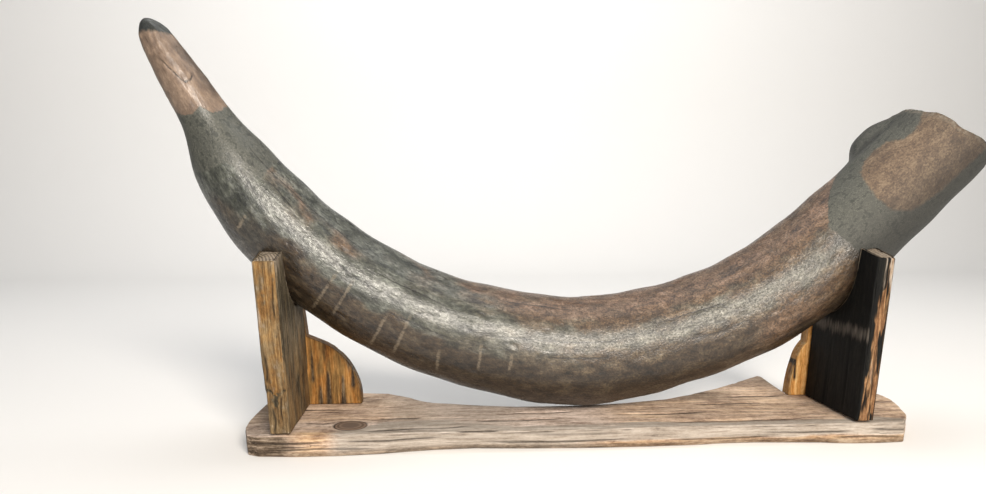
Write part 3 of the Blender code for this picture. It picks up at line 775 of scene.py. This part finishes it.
def make_base():
    """Sections across the board carried along it: front line to back line, worn corners.

    A point is front + share (back - front), with the section's offsets, drawn in
    at the two ends, less the relief along the section's way out.  The grain bends
    round the knot: lines near it are pushed out by exp(-distance squared)."""
    lines = np.array(BASE_LINES)
    steps = np.hypot(*np.diff(lines[:, 2:4], axis=0).T) + np.abs(np.diff(lines[:, 0]))
    knots = np.concatenate(([0.0], np.cumsum(steps)))
    along = end_rows(BASE_ROWS, knots[-1], BASE_ROUNDING)
    at = np.stack([np.interp(along, knots, column) for column in lines.T], axis=-1)
    share, offset, level, rise, out_across, out_up = rounded_section(BASE_ROUNDING, *BASE_STEPS)
    front, back, worn = at[:, None, 0:2], at[:, None, 2:4], at[:, None, 4]
    across = (back - front) / np.linalg.norm(back - front, axis=-1, keepdims=True)
    inset = drawn_in(np.minimum(along, along[-1] - along), BASE_ROUNDING)[:, None]
    flat = front + share[:, None] * (back - front) + (offset - inset * out_across)[..., None] * across
    height = level * BASE_THICK + rise - inset * out_up
    flat[..., 1] += worn * (1 - height / BASE_THICK) * (1 - share)
    x, y = flat[..., 0], flat[..., 1]
    points = np.stack((x, y, height), axis=-1)

    away = np.hypot((x - KNOT_PLACE[0]) / KNOT_SIZE[0], (y - KNOT_PLACE[1]) / KNOT_SIZE[1])
    bent = KNOT_PLACE[1] + (y - KNOT_PLACE[1]) * (1 - KNOT_PUSH * np.exp(-0.5 * away ** 2))
    bent = bent + 0.004 * np.sin(x / 0.11 + 1.0) + 0.003 * noise(points, (0.12, 0.06, 0.06), 2, 14)
    grain = np.stack((x, TOP_GRAIN * bent, height), axis=-1)
    on_top = out_up > 0.7
    on_edge = np.abs(out_across) >= 0.7
    check = nearest_line(BASE_CHECKS, x, y)
    check = (TOP_GRAIN * check[0], check[1])
    edge_check = nearest_line(EDGE_CHECKS, x, height)
    in_front = on_edge & (y < BASE_FRONT)
    check = [np.where(in_front, second, first) for first, second in zip(check, edge_check)]
    check[1] = check[1] * (on_top | on_edge)
    corner = 2 * np.abs(out_across * out_up) * (out_up > 0)
    relief = timber_relief(grain, 11, TOP_RELIEF + EDGE_RELIEF * on_edge, corner)
    relief = relief + BASE_CHECK_DEPTH * check[1] * hill(check[0], BASE_CHECK_WIDTH)
    relief = relief + KNOT_RING_DEPTH * hill(away - 1.0, 0.12) * on_top
    relief = np.where((out_up < -0.9) & (height < MM), 0.0, relief)
    points[..., :2] -= (relief * out_across)[..., None] * across
    points[..., 2] -= relief * np.maximum(out_up, 0.0)

    ragged = 0.012 * noise(points, (0.050, 0.010, 0.010), 3, 15)
    depth = y + ragged
    reach = 0.022 + 0.034 * step(0.13, 0.18, x) * step(0.34, 0.26, x)
    bleach_and_painted_light = strongest(
        step(0.085, 0.135, x) * step(reach + 0.012, reach - 0.006, depth),
        0.45 * step(0.14, 0.20, x) * step(0.42, 0.32, x), 0.55 * on_edge * (y > BASE_FRONT))
    lower = in_front * step(0.016, 0.009, height + 0.2 * ragged) * step(0.38, 0.50, x)
    bleach_and_painted_light = bleach_and_painted_light * (1 - 0.9 * lower)
    warm = strongest(
        blotches(BASE_WARM, x, depth), 0.42 * step(0.42, 0.55, x) * on_top + 0.6 * lower,
        0.38 * step(0.30, 0.20, x) * step(0.04, 0.07, y) * on_top,
        0.40 * hill(x - 0.10, 0.05) * hill(y - 0.095, 0.03))
    on_spike = step(0.17, 0.23, y) * step(0.70, 0.76, x) * step(0.84, 0.82, x)
    # Left end: the front edge stained grey-brown, and the top left of the left plank darker, partly as that
    # plank's painted shadow.
    left_end_stain_and_shadow = 0.58 * step(0.090, 0.035, x + ragged) * on_edge + 0.42 * step(0.06, 0.02, x + ragged)
    stain_and_shade = strongest(
        left_end_stain_and_shadow + 0.25 * lower, blotches(BASE_STAINS, x, depth), 0.42 * on_spike,
        0.45 * (out_up < -0.5), 0.60 * in_front * step(0.011, 0.005, height))
    knot = np.clip(1.3 - away, 0.0, 1.3) * on_top
    attributes = board_attributes(grain, bleach_and_painted_light, stain_and_shade, warm, check, relief, knot, 0.0 * knot)
    material = weathered_timber("weathered_softwood_plank")
    return tube("base_plank", points, attributes, material, "base_board")


def make_upright(node, timber, seed, checks, dressed):
    """A plank on end: columns round a rounded section, from the foot to the sawn top or
    to the cradle under the tusk, then rings drawn together over the top."""
    left, thick, top, lean = UPRIGHTS[node]
    share, offset, level, rise, out_y, out_x = rounded_section(UPRIGHT_ROUNDING, *UPRIGHT_STEPS)
    y = share * UPRIGHT_DEPTH + offset
    x = left + level * thick + rise
    shrink = np.linspace(1.0, 0.0, UPRIGHT_TOP_RINGS)[:-1, None]
    cap_x = left + thick / 2 + shrink * (x - left - thick / 2)
    cap_y = UPRIGHT_DEPTH / 2 + shrink * (y - UPRIGHT_DEPTH / 2)
    sawn = top + HORN_RISE * np.clip(cap_y / HORN_RUN, 0.0, 1.0)
    cradle = under_tusk(cap_x + lean * LEAN_HEIGHT, cap_y)
    blend = np.clip(0.5 + (sawn - cradle) / (2 * CRADLE_WORN), 0.0, 1.0)
    cap_z = sawn + (cradle - sawn) * blend - CRADLE_WORN * blend * (1 - blend)

    rows = end_rows(UPRIGHT_ROWS, 1.0, 0.012)[6:, None]  # without the foot's rounded rows
    column_z = FOOT + rows * (cap_z[:1] - FOOT)
    inset = drawn_in(cap_z[:1] - column_z, UPRIGHT_ROUNDING)
    z = np.concatenate((column_z, cap_z[1:]))
    flat_x = np.concatenate((x - inset * out_x, cap_x[1:]))
    flat_y = np.concatenate((y - inset * out_y, cap_y[1:]))
    points = np.stack((flat_x + lean * (z - FOOT), flat_y, z), axis=-1)
    across = (flat_x - left) / thick
    sides = np.concatenate((np.ones_like(column_z), np.zeros_like(cap_z[1:])))
    grain = np.stack((z, flat_x + 0.002 * noise(points, 0.06, 2, seed + 5), flat_y), axis=-1)
    on_front = sides * (out_y < -0.7)
    check = nearest_line(checks, z, across * thick)
    check = (check[0], check[1] * on_front)
    bleach_and_painted_light, stain_and_shade, warm, torn = dressed(points, across, sides, out_x, on_front, z)

    corner = 2 * np.abs(out_x * out_y) * sides
    hollow = timber_relief(grain, seed, PLANK_RELIEF, corner)
    relief = hollow + torn * TORN_DEPTH + CHECK_DEPTH * check[1] * hill(check[0], CHECK_WIDTH)
    points[..., 0] -= relief * sides * out_x
    points[..., 1] -= relief * sides * out_y
    hacked = np.maximum(HACKED_DEPTH * (1 + noise(points, 0.007, 3, seed + 4)), 0.0)
    from_rim = 1 - np.concatenate((np.ones_like(column_z), shrink[1:] * np.ones_like(y)))
    points[..., 2] -= hacked * step(0.0, 0.25, from_rim)
    attributes = board_attributes(grain, bleach_and_painted_light, stain_and_shade, warm, check, hollow, 0.0 * z, 1 - sides)
    return tube(node + "_plank", points, attributes, weathered_timber(timber), node)


def dress_left(points, across, sides, out_x, on_front, z):
    """Shares of bleaching, of stain and painted shade, warmth and tearing on the left plank:
    golden in front, grey-brown inside, partly as painted shade and darkest in a painted shadow
    of the tusk near its top, torn and rotten below the crevice, a greyed top."""
    ragged = noise(points, (0.008, 0.008, 0.030), 3, 71)
    spotted = noise(points, (0.007, 0.007, 0.010), 3, 72)
    inner = sides * (out_x > 0.5)
    crevice = CREVICE_HEIGHT + 0.004 * np.sin(across * 9.0 + 0.6) + 0.006 * spotted - 0.003 * across
    below = step(0.004, -0.002, z - crevice)
    gash = hill(z - crevice, 0.0024) * np.clip(0.9 + spotted, 0.2, 1.0)
    warm = 0.42 - 0.1 * below + 0.5 * ragged + 0.4 * spotted
    warm = warm * np.maximum(on_front, 0.3 * (1 - inner) * sides)
    warm = warm + 0.40 * inner * step(0.17, 0.08, z + 0.03 * ragged)
    # Inner face: darker as painted shade, darkest in a painted shadow of the tusk from about 0.15 to 0.25 m
    # up.
    stain_and_shade = inner * (0.28 + 0.5 * ragged + 0.62 * step(0.13, 0.18, z) * step(0.27, 0.23, z))
    rotten = 0.9 * gash + 0.55 * step(0.25, 0.8, spotted) + below * (0.10 + 0.7 * ragged)
    stain_and_shade = stain_and_shade + on_front * rotten + (1 - sides) * (0.35 + 0.5 * ragged)
    edge = hill(across - 0.04, 0.05) + 0.7 * hill(across - 0.96, 0.05)
    bleach_and_painted_light = 0.50 * inner * step(0.22, 0.25, z + 0.01 * ragged) + 0.55 * (1 - sides)
    bleach_and_painted_light = bleach_and_painted_light + on_front * (0.30 * edge + 0.25 * step(0.2, 0.7, -spotted))
    torn = on_front * (below * (0.8 + 0.8 * ragged) + 1.6 * gash)
    torn = np.maximum(torn + 0.6 * sides * below * (1 - on_front), 0.0)
    return bleach_and_painted_light, stain_and_shade, warm, torn


def dress_right(points, across, sides, out_x, on_front, z):
    """The same on the right plank: painted black inside as shade but for a paler band painted
    where light reaches it, its front torn, with a strip of golden heartwood bare down it and
    pale lines near its top."""
    ragged = noise(points, (0.004, 0.004, 0.040), 3, 81)
    inner = sides * (out_x < -0.5)
    bare_from = np.interp(z, *np.array(BARE_STRIP).T)
    bare = on_front * step(-0.06, 0.06, across - bare_from + 0.20 * ragged)
    outer_edge = step(0.80, 0.92, across + 0.10 * ragged)
    lines = hill(np.abs(across - 0.64) - 0.13, 0.055) + hill(across - 0.93, 0.05)
    lines = lines * on_front * step(0.205, 0.225, z) * step(0.275, 0.255, z + 0.03 * ragged)
    # The paler band painted as light across the inner face.
    painted_light_band = inner * hill(z - PAINTED_LIGHT_BAND_HEIGHT + 0.004 * ragged, PAINTED_LIGHT_BAND_WIDTH)
    # The inner face is painted black as shade, less across the band; the front is dark outside the bare
    # strip.
    stain_and_shade = 1.1 * inner - 0.50 * painted_light_band + 0.85 * on_front * (1 - bare)
    stain_and_shade = stain_and_shade * (1 - 0.8 * np.clip(lines, 0.0, 1.0))
    stain_and_shade = stain_and_shade + bare * (0.30 * outer_edge + 0.75 * step(0.20, 0.65, ragged))
    stain_and_shade = stain_and_shade + 0.45 * sides * (out_x > 0.5) + 0.30 * (1 - sides)
    warm = bare * (0.75 - 0.5 * outer_edge + 0.4 * ragged) + 0.2 * sides * (1 - inner)
    bleach_and_painted_light = 0.55 * (1 - sides) * step(0.075, 0.02, points[..., 1]) + 0.80 * lines
    bleach_and_painted_light = bleach_and_painted_light + 0.85 * painted_light_band + 0.30 * bare * step(0.20, 0.60, -ragged)
    torn = np.maximum(on_front * (0.5 + 0.7 * ragged), 0.0)
    return bleach_and_painted_light, stain_and_shade, warm, torn


def make_knee(node, timber, seed, warmth):
    """A board behind the upright: rows follow the rounded shoulder, then climb the horn
    to the cradle under the tusk, and rings draw together over the top."""
    share, offset, level, rise, out_x, out_y = rounded_section(KNEE_ROUNDING, *KNEE_STEPS)
    curve, horn, back_edge = (np.array(line) for line in KNEES[node])
    knots = np.concatenate(([0.0], np.cumsum(np.hypot(*np.diff(curve, axis=0).T))))
    curve = spline(knots, curve, np.linspace(0.0, knots[-1], SHOULDER_ROWS))
    y = KNEE_FRONT + level * KNEE_THICK + rise

    def across(z, edge_x):
        """x of the section's points between the back edge and the shoulder or horn."""
        back_x = np.interp(z, back_edge[:, 1], back_edge[:, 0])
        low, high = np.minimum(back_x, edge_x), np.maximum(back_x, edge_x)
        return low + share * (high - low) + offset

    low_z = curve[:, 1:2] * np.ones_like(share)
    low_x = across(low_z, curve[:, 0:1])
    root_z = curve[-1, 1]
    top_z = np.full_like(share, horn[-1, 1])
    for _ in range(HORN_TRIES):
        top_x = across(top_z, np.interp(top_z, horn[:, 1], horn[:, 0]))
        top_z = np.minimum(under_tusk(top_x, y), horn[-1, 1] + HORN_SPARE)
    climb = np.linspace(0.0, 1.0, HORN_ROWS)[1:, None]
    high_z = root_z + climb * (top_z - root_z)
    high_x = across(high_z, np.interp(high_z, horn[:, 1], horn[:, 0]))
    shrink = np.linspace(1.0, 0.0, KNEE_TOP_RINGS)[1:-1, None]
    cap_x = top_x.mean() + shrink * (top_x - top_x.mean())
    cap_y = KNEE_FRONT + KNEE_THICK / 2 + shrink * (y - KNEE_FRONT - KNEE_THICK / 2)
    cap_z = np.minimum(under_tusk(cap_x, cap_y), horn[-1, 1] + HORN_SPARE)

    z = np.concatenate((low_z, high_z, cap_z))
    x = np.concatenate((low_x, high_x, cap_x))
    depth = np.concatenate((y * np.ones_like(low_z), y * np.ones_like(high_z), cap_y))
    points = np.stack((x, depth, z), axis=-1)
    grain = np.stack((z, x + 0.002 * noise(points, 0.05, 2, seed + 5), depth), axis=-1)
    sides = np.concatenate((np.ones_like(low_z), np.ones_like(high_z), np.zeros_like(cap_z)))
    corner = 2 * np.abs(out_x * out_y) * sides
    relief = timber_relief(grain, seed, TOP_RELIEF, corner)

    ragged = noise(points, (0.006, 0.020, 0.030), 3, seed + 6)
    on_face = np.abs(out_y) > 0.7
    stain_and_shade = 0.40 * (~on_face) * np.ones_like(z)
    for centre, width, low, high in KNEE_STREAKS:
        ends = step(high + 0.010 + 0.02 * ragged, high - 0.015, z) * step(low - 0.012, low, z)
        tapered = width * (1.5 - np.clip((z - low) / (high - low), 0.0, 1.0)) * (1 + 0.6 * ragged)
        stain_and_shade = strongest(stain_and_shade, hill(x - centre, tapered) * ends)
    rim = np.interp(z, curve[:, 1], curve[:, 0])
    near_rim = hill(x - rim, 0.0045 + 0.003 * ragged) * step(root_z, root_z - 0.04, z)
    stain_and_shade = strongest(stain_and_shade, (0.5 + 0.4 * ragged) * near_rim)
    warm = warmth + 0.7 * ragged - 0.5 * hill(x - 0.094, 0.004) * step(0.09, 0.06, z)
    points[..., 0] -= relief * sides * out_x
    points[..., 1] -= relief * sides * out_y
    nothing = np.zeros_like(z)
    check = (nothing + 1.0, nothing)
    attributes = board_attributes(grain, nothing, stain_and_shade, warm, check, relief, nothing, 1 - sides)
    material = weathered_timber(timber)
    return tube(node + "_board", points, attributes, material, node)


# ---- Finishes --------------------------------------------------------------

def fill_inputs(node, inputs):
    """Sets a node's inputs, in its own order or by name in one dictionary: another node's
    output is linked, a hex colour turned linear, None left."""
    if inputs and isinstance(inputs[0], dict):
        filled = [(node.inputs[name], value) for name, value in inputs[0].items()]
    else:
        filled = zip([socket for socket in node.inputs if socket.enabled], inputs)
    for socket, value in filled:
        if isinstance(value, bpy.types.NodeSocket):
            node.id_data.links.new(value, socket)
        elif value is not None:
            socket.default_value = linear(value) if isinstance(value, str) else value


def add(tree, kind, *inputs, stops=(), output=None, **settings):
    """Adds a node with its settings, its links and a ramp's places and colours, and gives
    its named or its first output."""
    made = tree.nodes.new("ShaderNode" + kind)
    for name, value in settings.items():
        setattr(made, name, value)
    fill_inputs(made, inputs)
    for _ in stops[2:]:
        made.color_ramp.elements.new(0.5)
    for k, (place, colour) in enumerate(stops):
        made.color_ramp.elements[k].position = place
        made.color_ramp.elements[k].color = linear(colour)
    return next(socket for socket in made.outputs if socket.enabled and output in (None, socket.name))


def start_finish(name, laid_by, noises):
    """A material, its shader, what adds its nodes, the stored place and noises over that: each
    by its size, how far it's drawn out along the first axis, its detail and roughness."""
    material = bpy.data.materials.new(name)
    material.use_nodes = True
    node = functools.partial(add, material.node_tree)
    place = node("Attribute", attribute_name=laid_by, output="Vector")
    fields = []
    for size, drawn, detail, rough in noises:
        laid = node("VectorMath", place, (1 / drawn, 1.0, 1.0), operation="MULTIPLY")
        fields.append(node("TexNoise", {
            "Vector": laid, "Scale": 1 / size, "Detail": detail, "Roughness": rough}))
    return material, material.node_tree.nodes["Principled BSDF"], node, place, fields


def fossil_ivory():
    """Mammoth ivory, mineralised, sanded and varnished: a broken satin gleam over mottled
    grey-green, brown and tan, fine grain along the tusk, dull grey filler at both repairs
    and rough tan bare places."""
    # Mottling, fibres along the tusk, and grains that show as 3 mm though the real ones are finer.
    material, shader, node, straight, fields = start_finish("varnished_fossil_ivory", "straight", (
        (13 * MM, 1.7, 6.0, 0.70), (2.9 * MM, 2.4, 3.0, 0.72), (2.7 * MM, 1.15, 2.0, 0.80),
        (7 * MM, 1.5, 5.0, 0.75), (6 * MM, 1.0, 4.0, 0.70)))
    mottle, fibre, grains, blotch, edging = fields
    tone = node("Attribute", attribute_name="tone", output="Vector")
    brown, tan, dark = node("SeparateXYZ", tone).node.outputs
    along = node("SeparateXYZ", straight)
    granular = node("MapRange", along, 0.42, 0.85)
    fine = node("Mix", granular, fibre, grains)

    greys = ((0.34, "#262823"), (0.50, "#4A4C44"), (0.68, "#70726A"))
    browns = ((0.34, "#251D13"), (0.50, "#50402F"), (0.66, "#6F5F49"))
    tans = ((0.34, "#3F2D20"), (0.50, "#664E3A"), (0.66, "#866D5A"))
    colour = node("ValToRGB", mottle, stops=greys)
    for share, stops in ((brown, browns), (tan, tans)):
        layer = node("ValToRGB", mottle, stops=stops)
        colour = node("Mix", share, colour, layer, data_type="RGBA")
    contrast = node("MapRange", fine, 0.36, 0.64, 0.42, 1.54)
    colour = node("VectorMath", {"Vector": colour, "Scale": contrast}, operation="SCALE")

    # Filler: dull grey with paler wisps; cap: darker grey; patch: pinkish; bare places: tan.
    wobble = node("Math", edging, 9 * MM, -4.5 * MM, operation="MULTIPLY_ADD")
    wisps = node("ValToRGB", blotch, stops=(
        (0.32, "#31332D"), (0.475, "#43443D"), (0.50, "#6B6A60"), (0.525, "#44453E"), (0.70, "#53534B")))
    pinks = node("ValToRGB", node("Math", mottle, blotch, 0.5, operation="MULTIPLY_ADD"),
                 stops=((0.60, "#594A40"), (0.74, "#7A6757"), (0.90, "#9A8572")))
    caps = node("ValToRGB", blotch, stops=((0.35, "#1C1E1B"), (0.65, "#373934")))
    tanned = node("ValToRGB", node("Math", grains, mottle, 0.5, operation="MULTIPLY_ADD"),
                  stops=((0.62, "#40342A"), (0.74, "#62503F"), (0.88, "#85725B")))
    masks = []
    for name, layer, soft in (("filler", wisps, 1.2 * MM), ("patch", pinks, 1.2 * MM),
                              ("cap", caps, 2.5 * MM), ("tan", tanned, 2.2 * MM)):
        inside = node("Attribute", attribute_name=name, output="Fac")
        inside = node("Math", inside, wobble, operation="ADD")
        masks.append(node("MapRange", inside, -soft, soft))
        colour = node("Mix", masks[-1], colour, layer, data_type="RGBA")
    end = node("Attribute", attribute_name="end", output="Vector")
    broken, rim = node("SeparateXYZ", end).node.outputs[:2]
    colour = node("Mix", broken, colour, tanned, data_type="RGBA")
    chipped = node("Math", rim, node("MapRange", edging, 0.45, 0.60), operation="MULTIPLY")
    colour = node("Mix", chipped, colour, "#8C8272", data_type="RGBA")
    # Darkened by the tone's darkness: mostly painted shade underneath, round the knob and beside the left
    # board.
    shade = node("MapRange", dark, 0.0, 1.0, 1.0, 0.29)
    colour = node("VectorMath", {"Vector": colour, "Scale": shade}, operation="SCALE")

    # Cracks are dark, a millimetre wide with soft sides; scrapes are pale and twice as wide.
    crooked = node("Math", edging, 5 * MM, -2.5 * MM, operation="MULTIPLY_ADD")
    for name, wide, strength, broken_at, ink in (
            ("scrape", 2.8 * MM, 0.42, 0.34, "#8C7E6A"), ("crack", 1.5 * MM, 0.80, 0.26, "#14110D")):
        line = node("Attribute", attribute_name=name, output="Vector")
        gap, there = node("SeparateXYZ", line).node.outputs[:2]
        gap = node("Math", node("Math", gap, crooked, operation="ADD"), operation="ABSOLUTE")
        drawn = node("MapRange", gap, 0.35 * wide, wide, strength, 0.0)
        drawn = node("Math", drawn, there, operation="MULTIPLY")
        drawn = node("Math", drawn, node("MapRange", fine, broken_at, broken_at + 0.2), operation="MULTIPLY")
        colour = node("Mix", drawn, colour, ink, data_type="RGBA")

    # Filler is dull at the root and glossier near the tip; bare places and the break are dull.
    filled, bare = masks[0], masks[-1]
    rough = node("MapRange", fine, 0.36, 0.62, 0.47, 0.25)
    rough = node("Math", granular, 0.03, rough, operation="MULTIPLY_ADD")
    dull = node("Math", filled, along, operation="MULTIPLY")
    dull = node("Math", dull, node("Math", bare, broken, operation="MAXIMUM"), operation="MAXIMUM")
    rough = node("Mix", dull, rough, 0.72)
    raised = node("Math", fine, node("MapRange", along, 0.60, 1.15, 1.0, 1.7), operation="MULTIPLY")
    height = node("Math", blotch, 0.5, raised, operation="MULTIPLY_ADD")
    bump = node("Bump", {"Height": height, "Distance": 0.75 * MM, "Strength": 0.8})
    fill_inputs(shader, [{"Base Color": colour, "Roughness": rough, "Normal": bump, "IOR": 1.6}])
    return material


# Pale tones of bleached wood, also used for the light painted on the right plank.
BLEACH_AND_LIGHT_TONES = ((0.38, "#5E544B"), (0.45, "#95897C"), (0.60, "#C4B9AD"))
TIMBERS = {  # tones of bare, of warm and of stained wood, the last also for painted shade, from dark to light, and the roughness
    # Sawn plank gone pinkish tan: matt, silver along its worn front edge, a knot near one end.
    "weathered_softwood_plank": (
        ((0.41, "#7A675A"), (0.49, "#C5B1A1"), (0.57, "#F6E3D6")),
        ((0.42, "#67482D"), (0.49, "#AF8960"), (0.57, "#DBBB8F")),
        ((0.42, "#221B15"), (0.49, "#5E4F40"), (0.57, "#A3927F")), 0.82),
    # Split golden softwood: matt, grey-brown on its inner face, partly as painted shade, rotten at its foot.
    "golden_split_softwood": (
        ((0.41, "#3B2F1F"), (0.49, "#67543A"), (0.57, "#8F7B5C")),
        ((0.41, "#483116"), (0.49, "#76552E"), (0.57, "#9D7E50")),
        ((0.41, "#0E0C09"), (0.49, "#403828"), (0.57, "#7C705C")), 0.80),
    # Split softwood, dark in front and painted black as shade inside, with golden heartwood bare in front:
    # matt.
    "dark_split_softwood_painted_shade": (
        ((0.40, "#1E150D"), (0.49, "#48341F"), (0.57, "#77603F")),
        ((0.40, "#3F2719"), (0.49, "#7F5B3C"), (0.57, "#B59169")),
        ((0.40, "#010101"), (0.49, "#060605"), (0.57, "#1B1A15")), 0.80),
    # Sawn pine board, oiled orange: satin, with dark resin streaks and darker along its rounded shoulder.
    "oiled_pine_board": (
        ((0.41, "#4C3417"), (0.49, "#70532C"), (0.57, "#927141")),
        ((0.41, "#653D17"), (0.49, "#92622B"), (0.57, "#B7884E")),
        ((0.41, "#120D08"), (0.49, "#362A1D"), (0.57, "#7A6850")), 0.62),
    # The same board painted lighter to stand in for the light on it: satin, light orange.
    "oiled_pine_board_painted_lighter": (
        ((0.41, "#865E2C"), (0.49, "#D29954"), (0.57, "#FBCD8C")),
        ((0.41, "#9D6A2E"), (0.49, "#EAA95E"), (0.57, "#FFD998")),
        ((0.41, "#120D08"), (0.49, "#362A1D"), (0.57, "#7A6850")), 0.62),
}


def weathered_timber(name):
    """Old timber left outdoors, split or sawn and never finished: fibres and streaks along
    the grain, silver where bleached and paler where light is painted, dark where stained and
    where shade is painted, with open checks."""
    tones, warm, stain_and_shade, roughness = TIMBERS[name]
    # Fibres show as 1.5 mm lines though the real ones are finer.
    material, shader, node, grain, fields = start_finish(name, "grain", (
        (1.5 * MM, 30.0, 4.0, 0.75), (4 * MM, 18.0, 5.0, 0.72), (24 * MM, 3.0, 6.0, 0.70),
        (10 * MM, 24.0, 3.0, 0.60), (2.8 * MM, 2.6, 4.0, 0.75)))
    fibre, streak, patch, vein, speck = fields
    fibre = node("Mix", 0.42, fibre, speck)
    all_three = node("CombineXYZ", fibre, streak, patch)
    tone = node("VectorMath", all_three, (0.42, 0.36, 0.22), operation="DOT_PRODUCT")
    colour = node("ValToRGB", tone, stops=tones)
    wear_painted_light_and_shade = node("Attribute", attribute_name="wear_painted_light_and_shade", output="Vector")
    bleach_and_light_share, stain_and_shade_share, warmth = node("SeparateXYZ", wear_painted_light_and_shade).node.outputs
    # The stain share also lays painted shade, and the bleach share painted light.
    for share, stops in ((warmth, warm), (bleach_and_light_share, BLEACH_AND_LIGHT_TONES), (stain_and_shade_share, stain_and_shade)):
        ragged = node("Math", streak, 0.9, share, operation="MULTIPLY_ADD")
        ragged = node("MapRange", ragged, 0.60, 1.20)
        layer = node("ValToRGB", tone, stops=stops)
        colour = node("Mix", ragged, colour, layer, data_type="RGBA")

    closeness = node("Attribute", attribute_name="knot", output="Fac")
    swirl = node("Math", patch, 0.4, closeness, operation="MULTIPLY_ADD")
    knot = node("ValToRGB", swirl, stops=(
        (0.46, "#211913"), (0.58, "#8F7867"), (0.70, "#5C4C40"), (0.84, "#8A7564"), (1.0, "#6E5D51")))
    inside = node("MapRange", closeness, 0.16, 0.30)
    colour = node("Mix", inside, colour, knot, data_type="RGBA")

    veins = node("ValToRGB", vein, stops=(
        (0.475, "#000000"), (0.492, "#666666"), (0.498, "#666666"), (0.515, "#000000")))
    check = node("Attribute", attribute_name="check", output="Vector")
    gap, there, hollow = node("SeparateXYZ", check).node.outputs
    crooked = node("Math", streak, 6 * MM, gap, operation="MULTIPLY_ADD")
    crooked = node("Math", crooked, 3 * MM, operation="SUBTRACT")
    drawn = node("MapRange", node("Math", crooked, operation="ABSOLUTE"),
                 0.4 * MM, 1.8 * MM, 0.75, 0.0)
    drawn = node("Math", drawn, there, operation="MULTIPLY")
    sunk = node("MapRange", hollow, 1.3, 2.9, 0.0, 0.6)
    dark = node("Math", node("Math", drawn, sunk, operation="MAXIMUM"),
                veins, operation="MAXIMUM")
    colour = node("Mix", dark, colour, stain_and_shade[0][1], data_type="RGBA")

    # Sawn ends show growth rings about 4 mm apart.
    cut = node("Attribute", attribute_name="cut", output="Fac")
    rings = node("TexWave", {
        "Vector": grain, "Scale": 0.314 / (4 * MM), "Distortion": 4.0, "Detail": 3.0, "Detail Scale": 0.5,
    }, wave_type="RINGS", rings_direction="X", output="Fac")
    ringed = node("ValToRGB", rings, stops=((0.2, "#3A3026"), (0.7, "#9A8C78")))
    colour = node("Mix", node("Math", cut, 0.6, operation="MULTIPLY"),
                  colour, ringed, data_type="RGBA")
    height = node("Math", tone, node("Math", dark, 0.5, operation="MULTIPLY"),
                  operation="SUBTRACT")
    bump = node("Bump", {"Height": height, "Distance": 2.0 * MM, "Strength": 0.9})
    fill_inputs(shader, [{
        "Base Color": colour, "Roughness": roughness, "Normal": bump, "Specular IOR Level": 0.25}])
    return material


# ---- Stage -----------------------------------------------------------------

def make_floor():
    """A pale floor that curves up into a backdrop: flat, a quarter round, then upright."""
    turn = np.linspace(0.0, math.pi / 2, 24)
    depth = np.concatenate(([-FLOOR_FRONT], FLOOR_BACK + BACKDROP_ROUNDING * np.sin(turn),
                            [FLOOR_BACK + BACKDROP_ROUNDING]))
    height = np.concatenate(([0.0], BACKDROP_ROUNDING * (1 - np.cos(turn)), [BACKDROP_HEIGHT]))
    left = np.stack((np.full_like(depth, -FLOOR_HALF_WIDTH), depth, height), axis=-1)
    right = left * (-1, 1, 1)
    count = len(depth)
    k = np.arange(count - 1)
    faces = np.stack((k, k + count, k + count + 1, k + 1), axis=-1)
    mesh = bpy.data.meshes.new("floor")
    mesh.from_pydata(np.concatenate((left, right)), (), faces.tolist())
    mesh.shade_smooth()
    material = bpy.data.materials.new("pale_matt_floor")
    material.use_nodes = True
    fill_inputs(material.node_tree.nodes["Principled BSDF"], [FLOOR_FINISH])
    mesh.materials.append(material)
    floor = linked("floor", mesh)


def make_lamps():
    """Soft square lamps round the object, and an even pale sky."""
    for name, place, target, size, watts, colour in LAMPS:
        lamp = bpy.data.lights.new(name, "AREA")
        lamp.shape = "SQUARE"
        lamp.size = size
        lamp.energy = watts
        lamp.color = linear(colour)[:3]
        obj = linked(name, lamp)
        obj.location = place
        obj.rotation_euler = (Vector(target) - Vector(place)).to_track_quat("-Z", "Y").to_euler()
    world = bpy.data.worlds.new("pale_sky")
    world.use_nodes = True
    fill_inputs(world.node_tree.nodes["Background"], [{"Color": SKY, "Strength": SKY_STRENGTH}])
    bpy.context.scene.world = world


def make_camera():
    """The camera, a metre in front of the stand's left half and a third of a metre up."""
    camera = bpy.data.cameras.new("camera")
    camera.lens = CAMERA_LENS
    camera.shift_y = CAMERA_SHIFT
    obj = linked("camera", camera)
    obj.location = CAMERA_PLACE
    obj.rotation_euler = (math.radians(90 - CAMERA_DOWN), 0.0, math.radians(-CAMERA_RIGHT))
    bpy.context.scene.camera = obj


bpy.context.scene.view_settings.view_transform = "Standard"
make_camera()
make_lamps()
make_floor()
make_tusk()
make_base()
make_upright("left_upright", "golden_split_softwood", 21, LEFT_CHECKS, dress_left)
make_upright("right_upright", "dark_split_softwood_painted_shade", 31, RIGHT_CHECKS, dress_right)
make_knee("left_knee", "oiled_pine_board", 41, 0.45)
# The right knee's board is painted lighter, with more warmth, to stand in for the light on it.
make_knee("right_knee", "oiled_pine_board_painted_lighter", 51, 0.6)
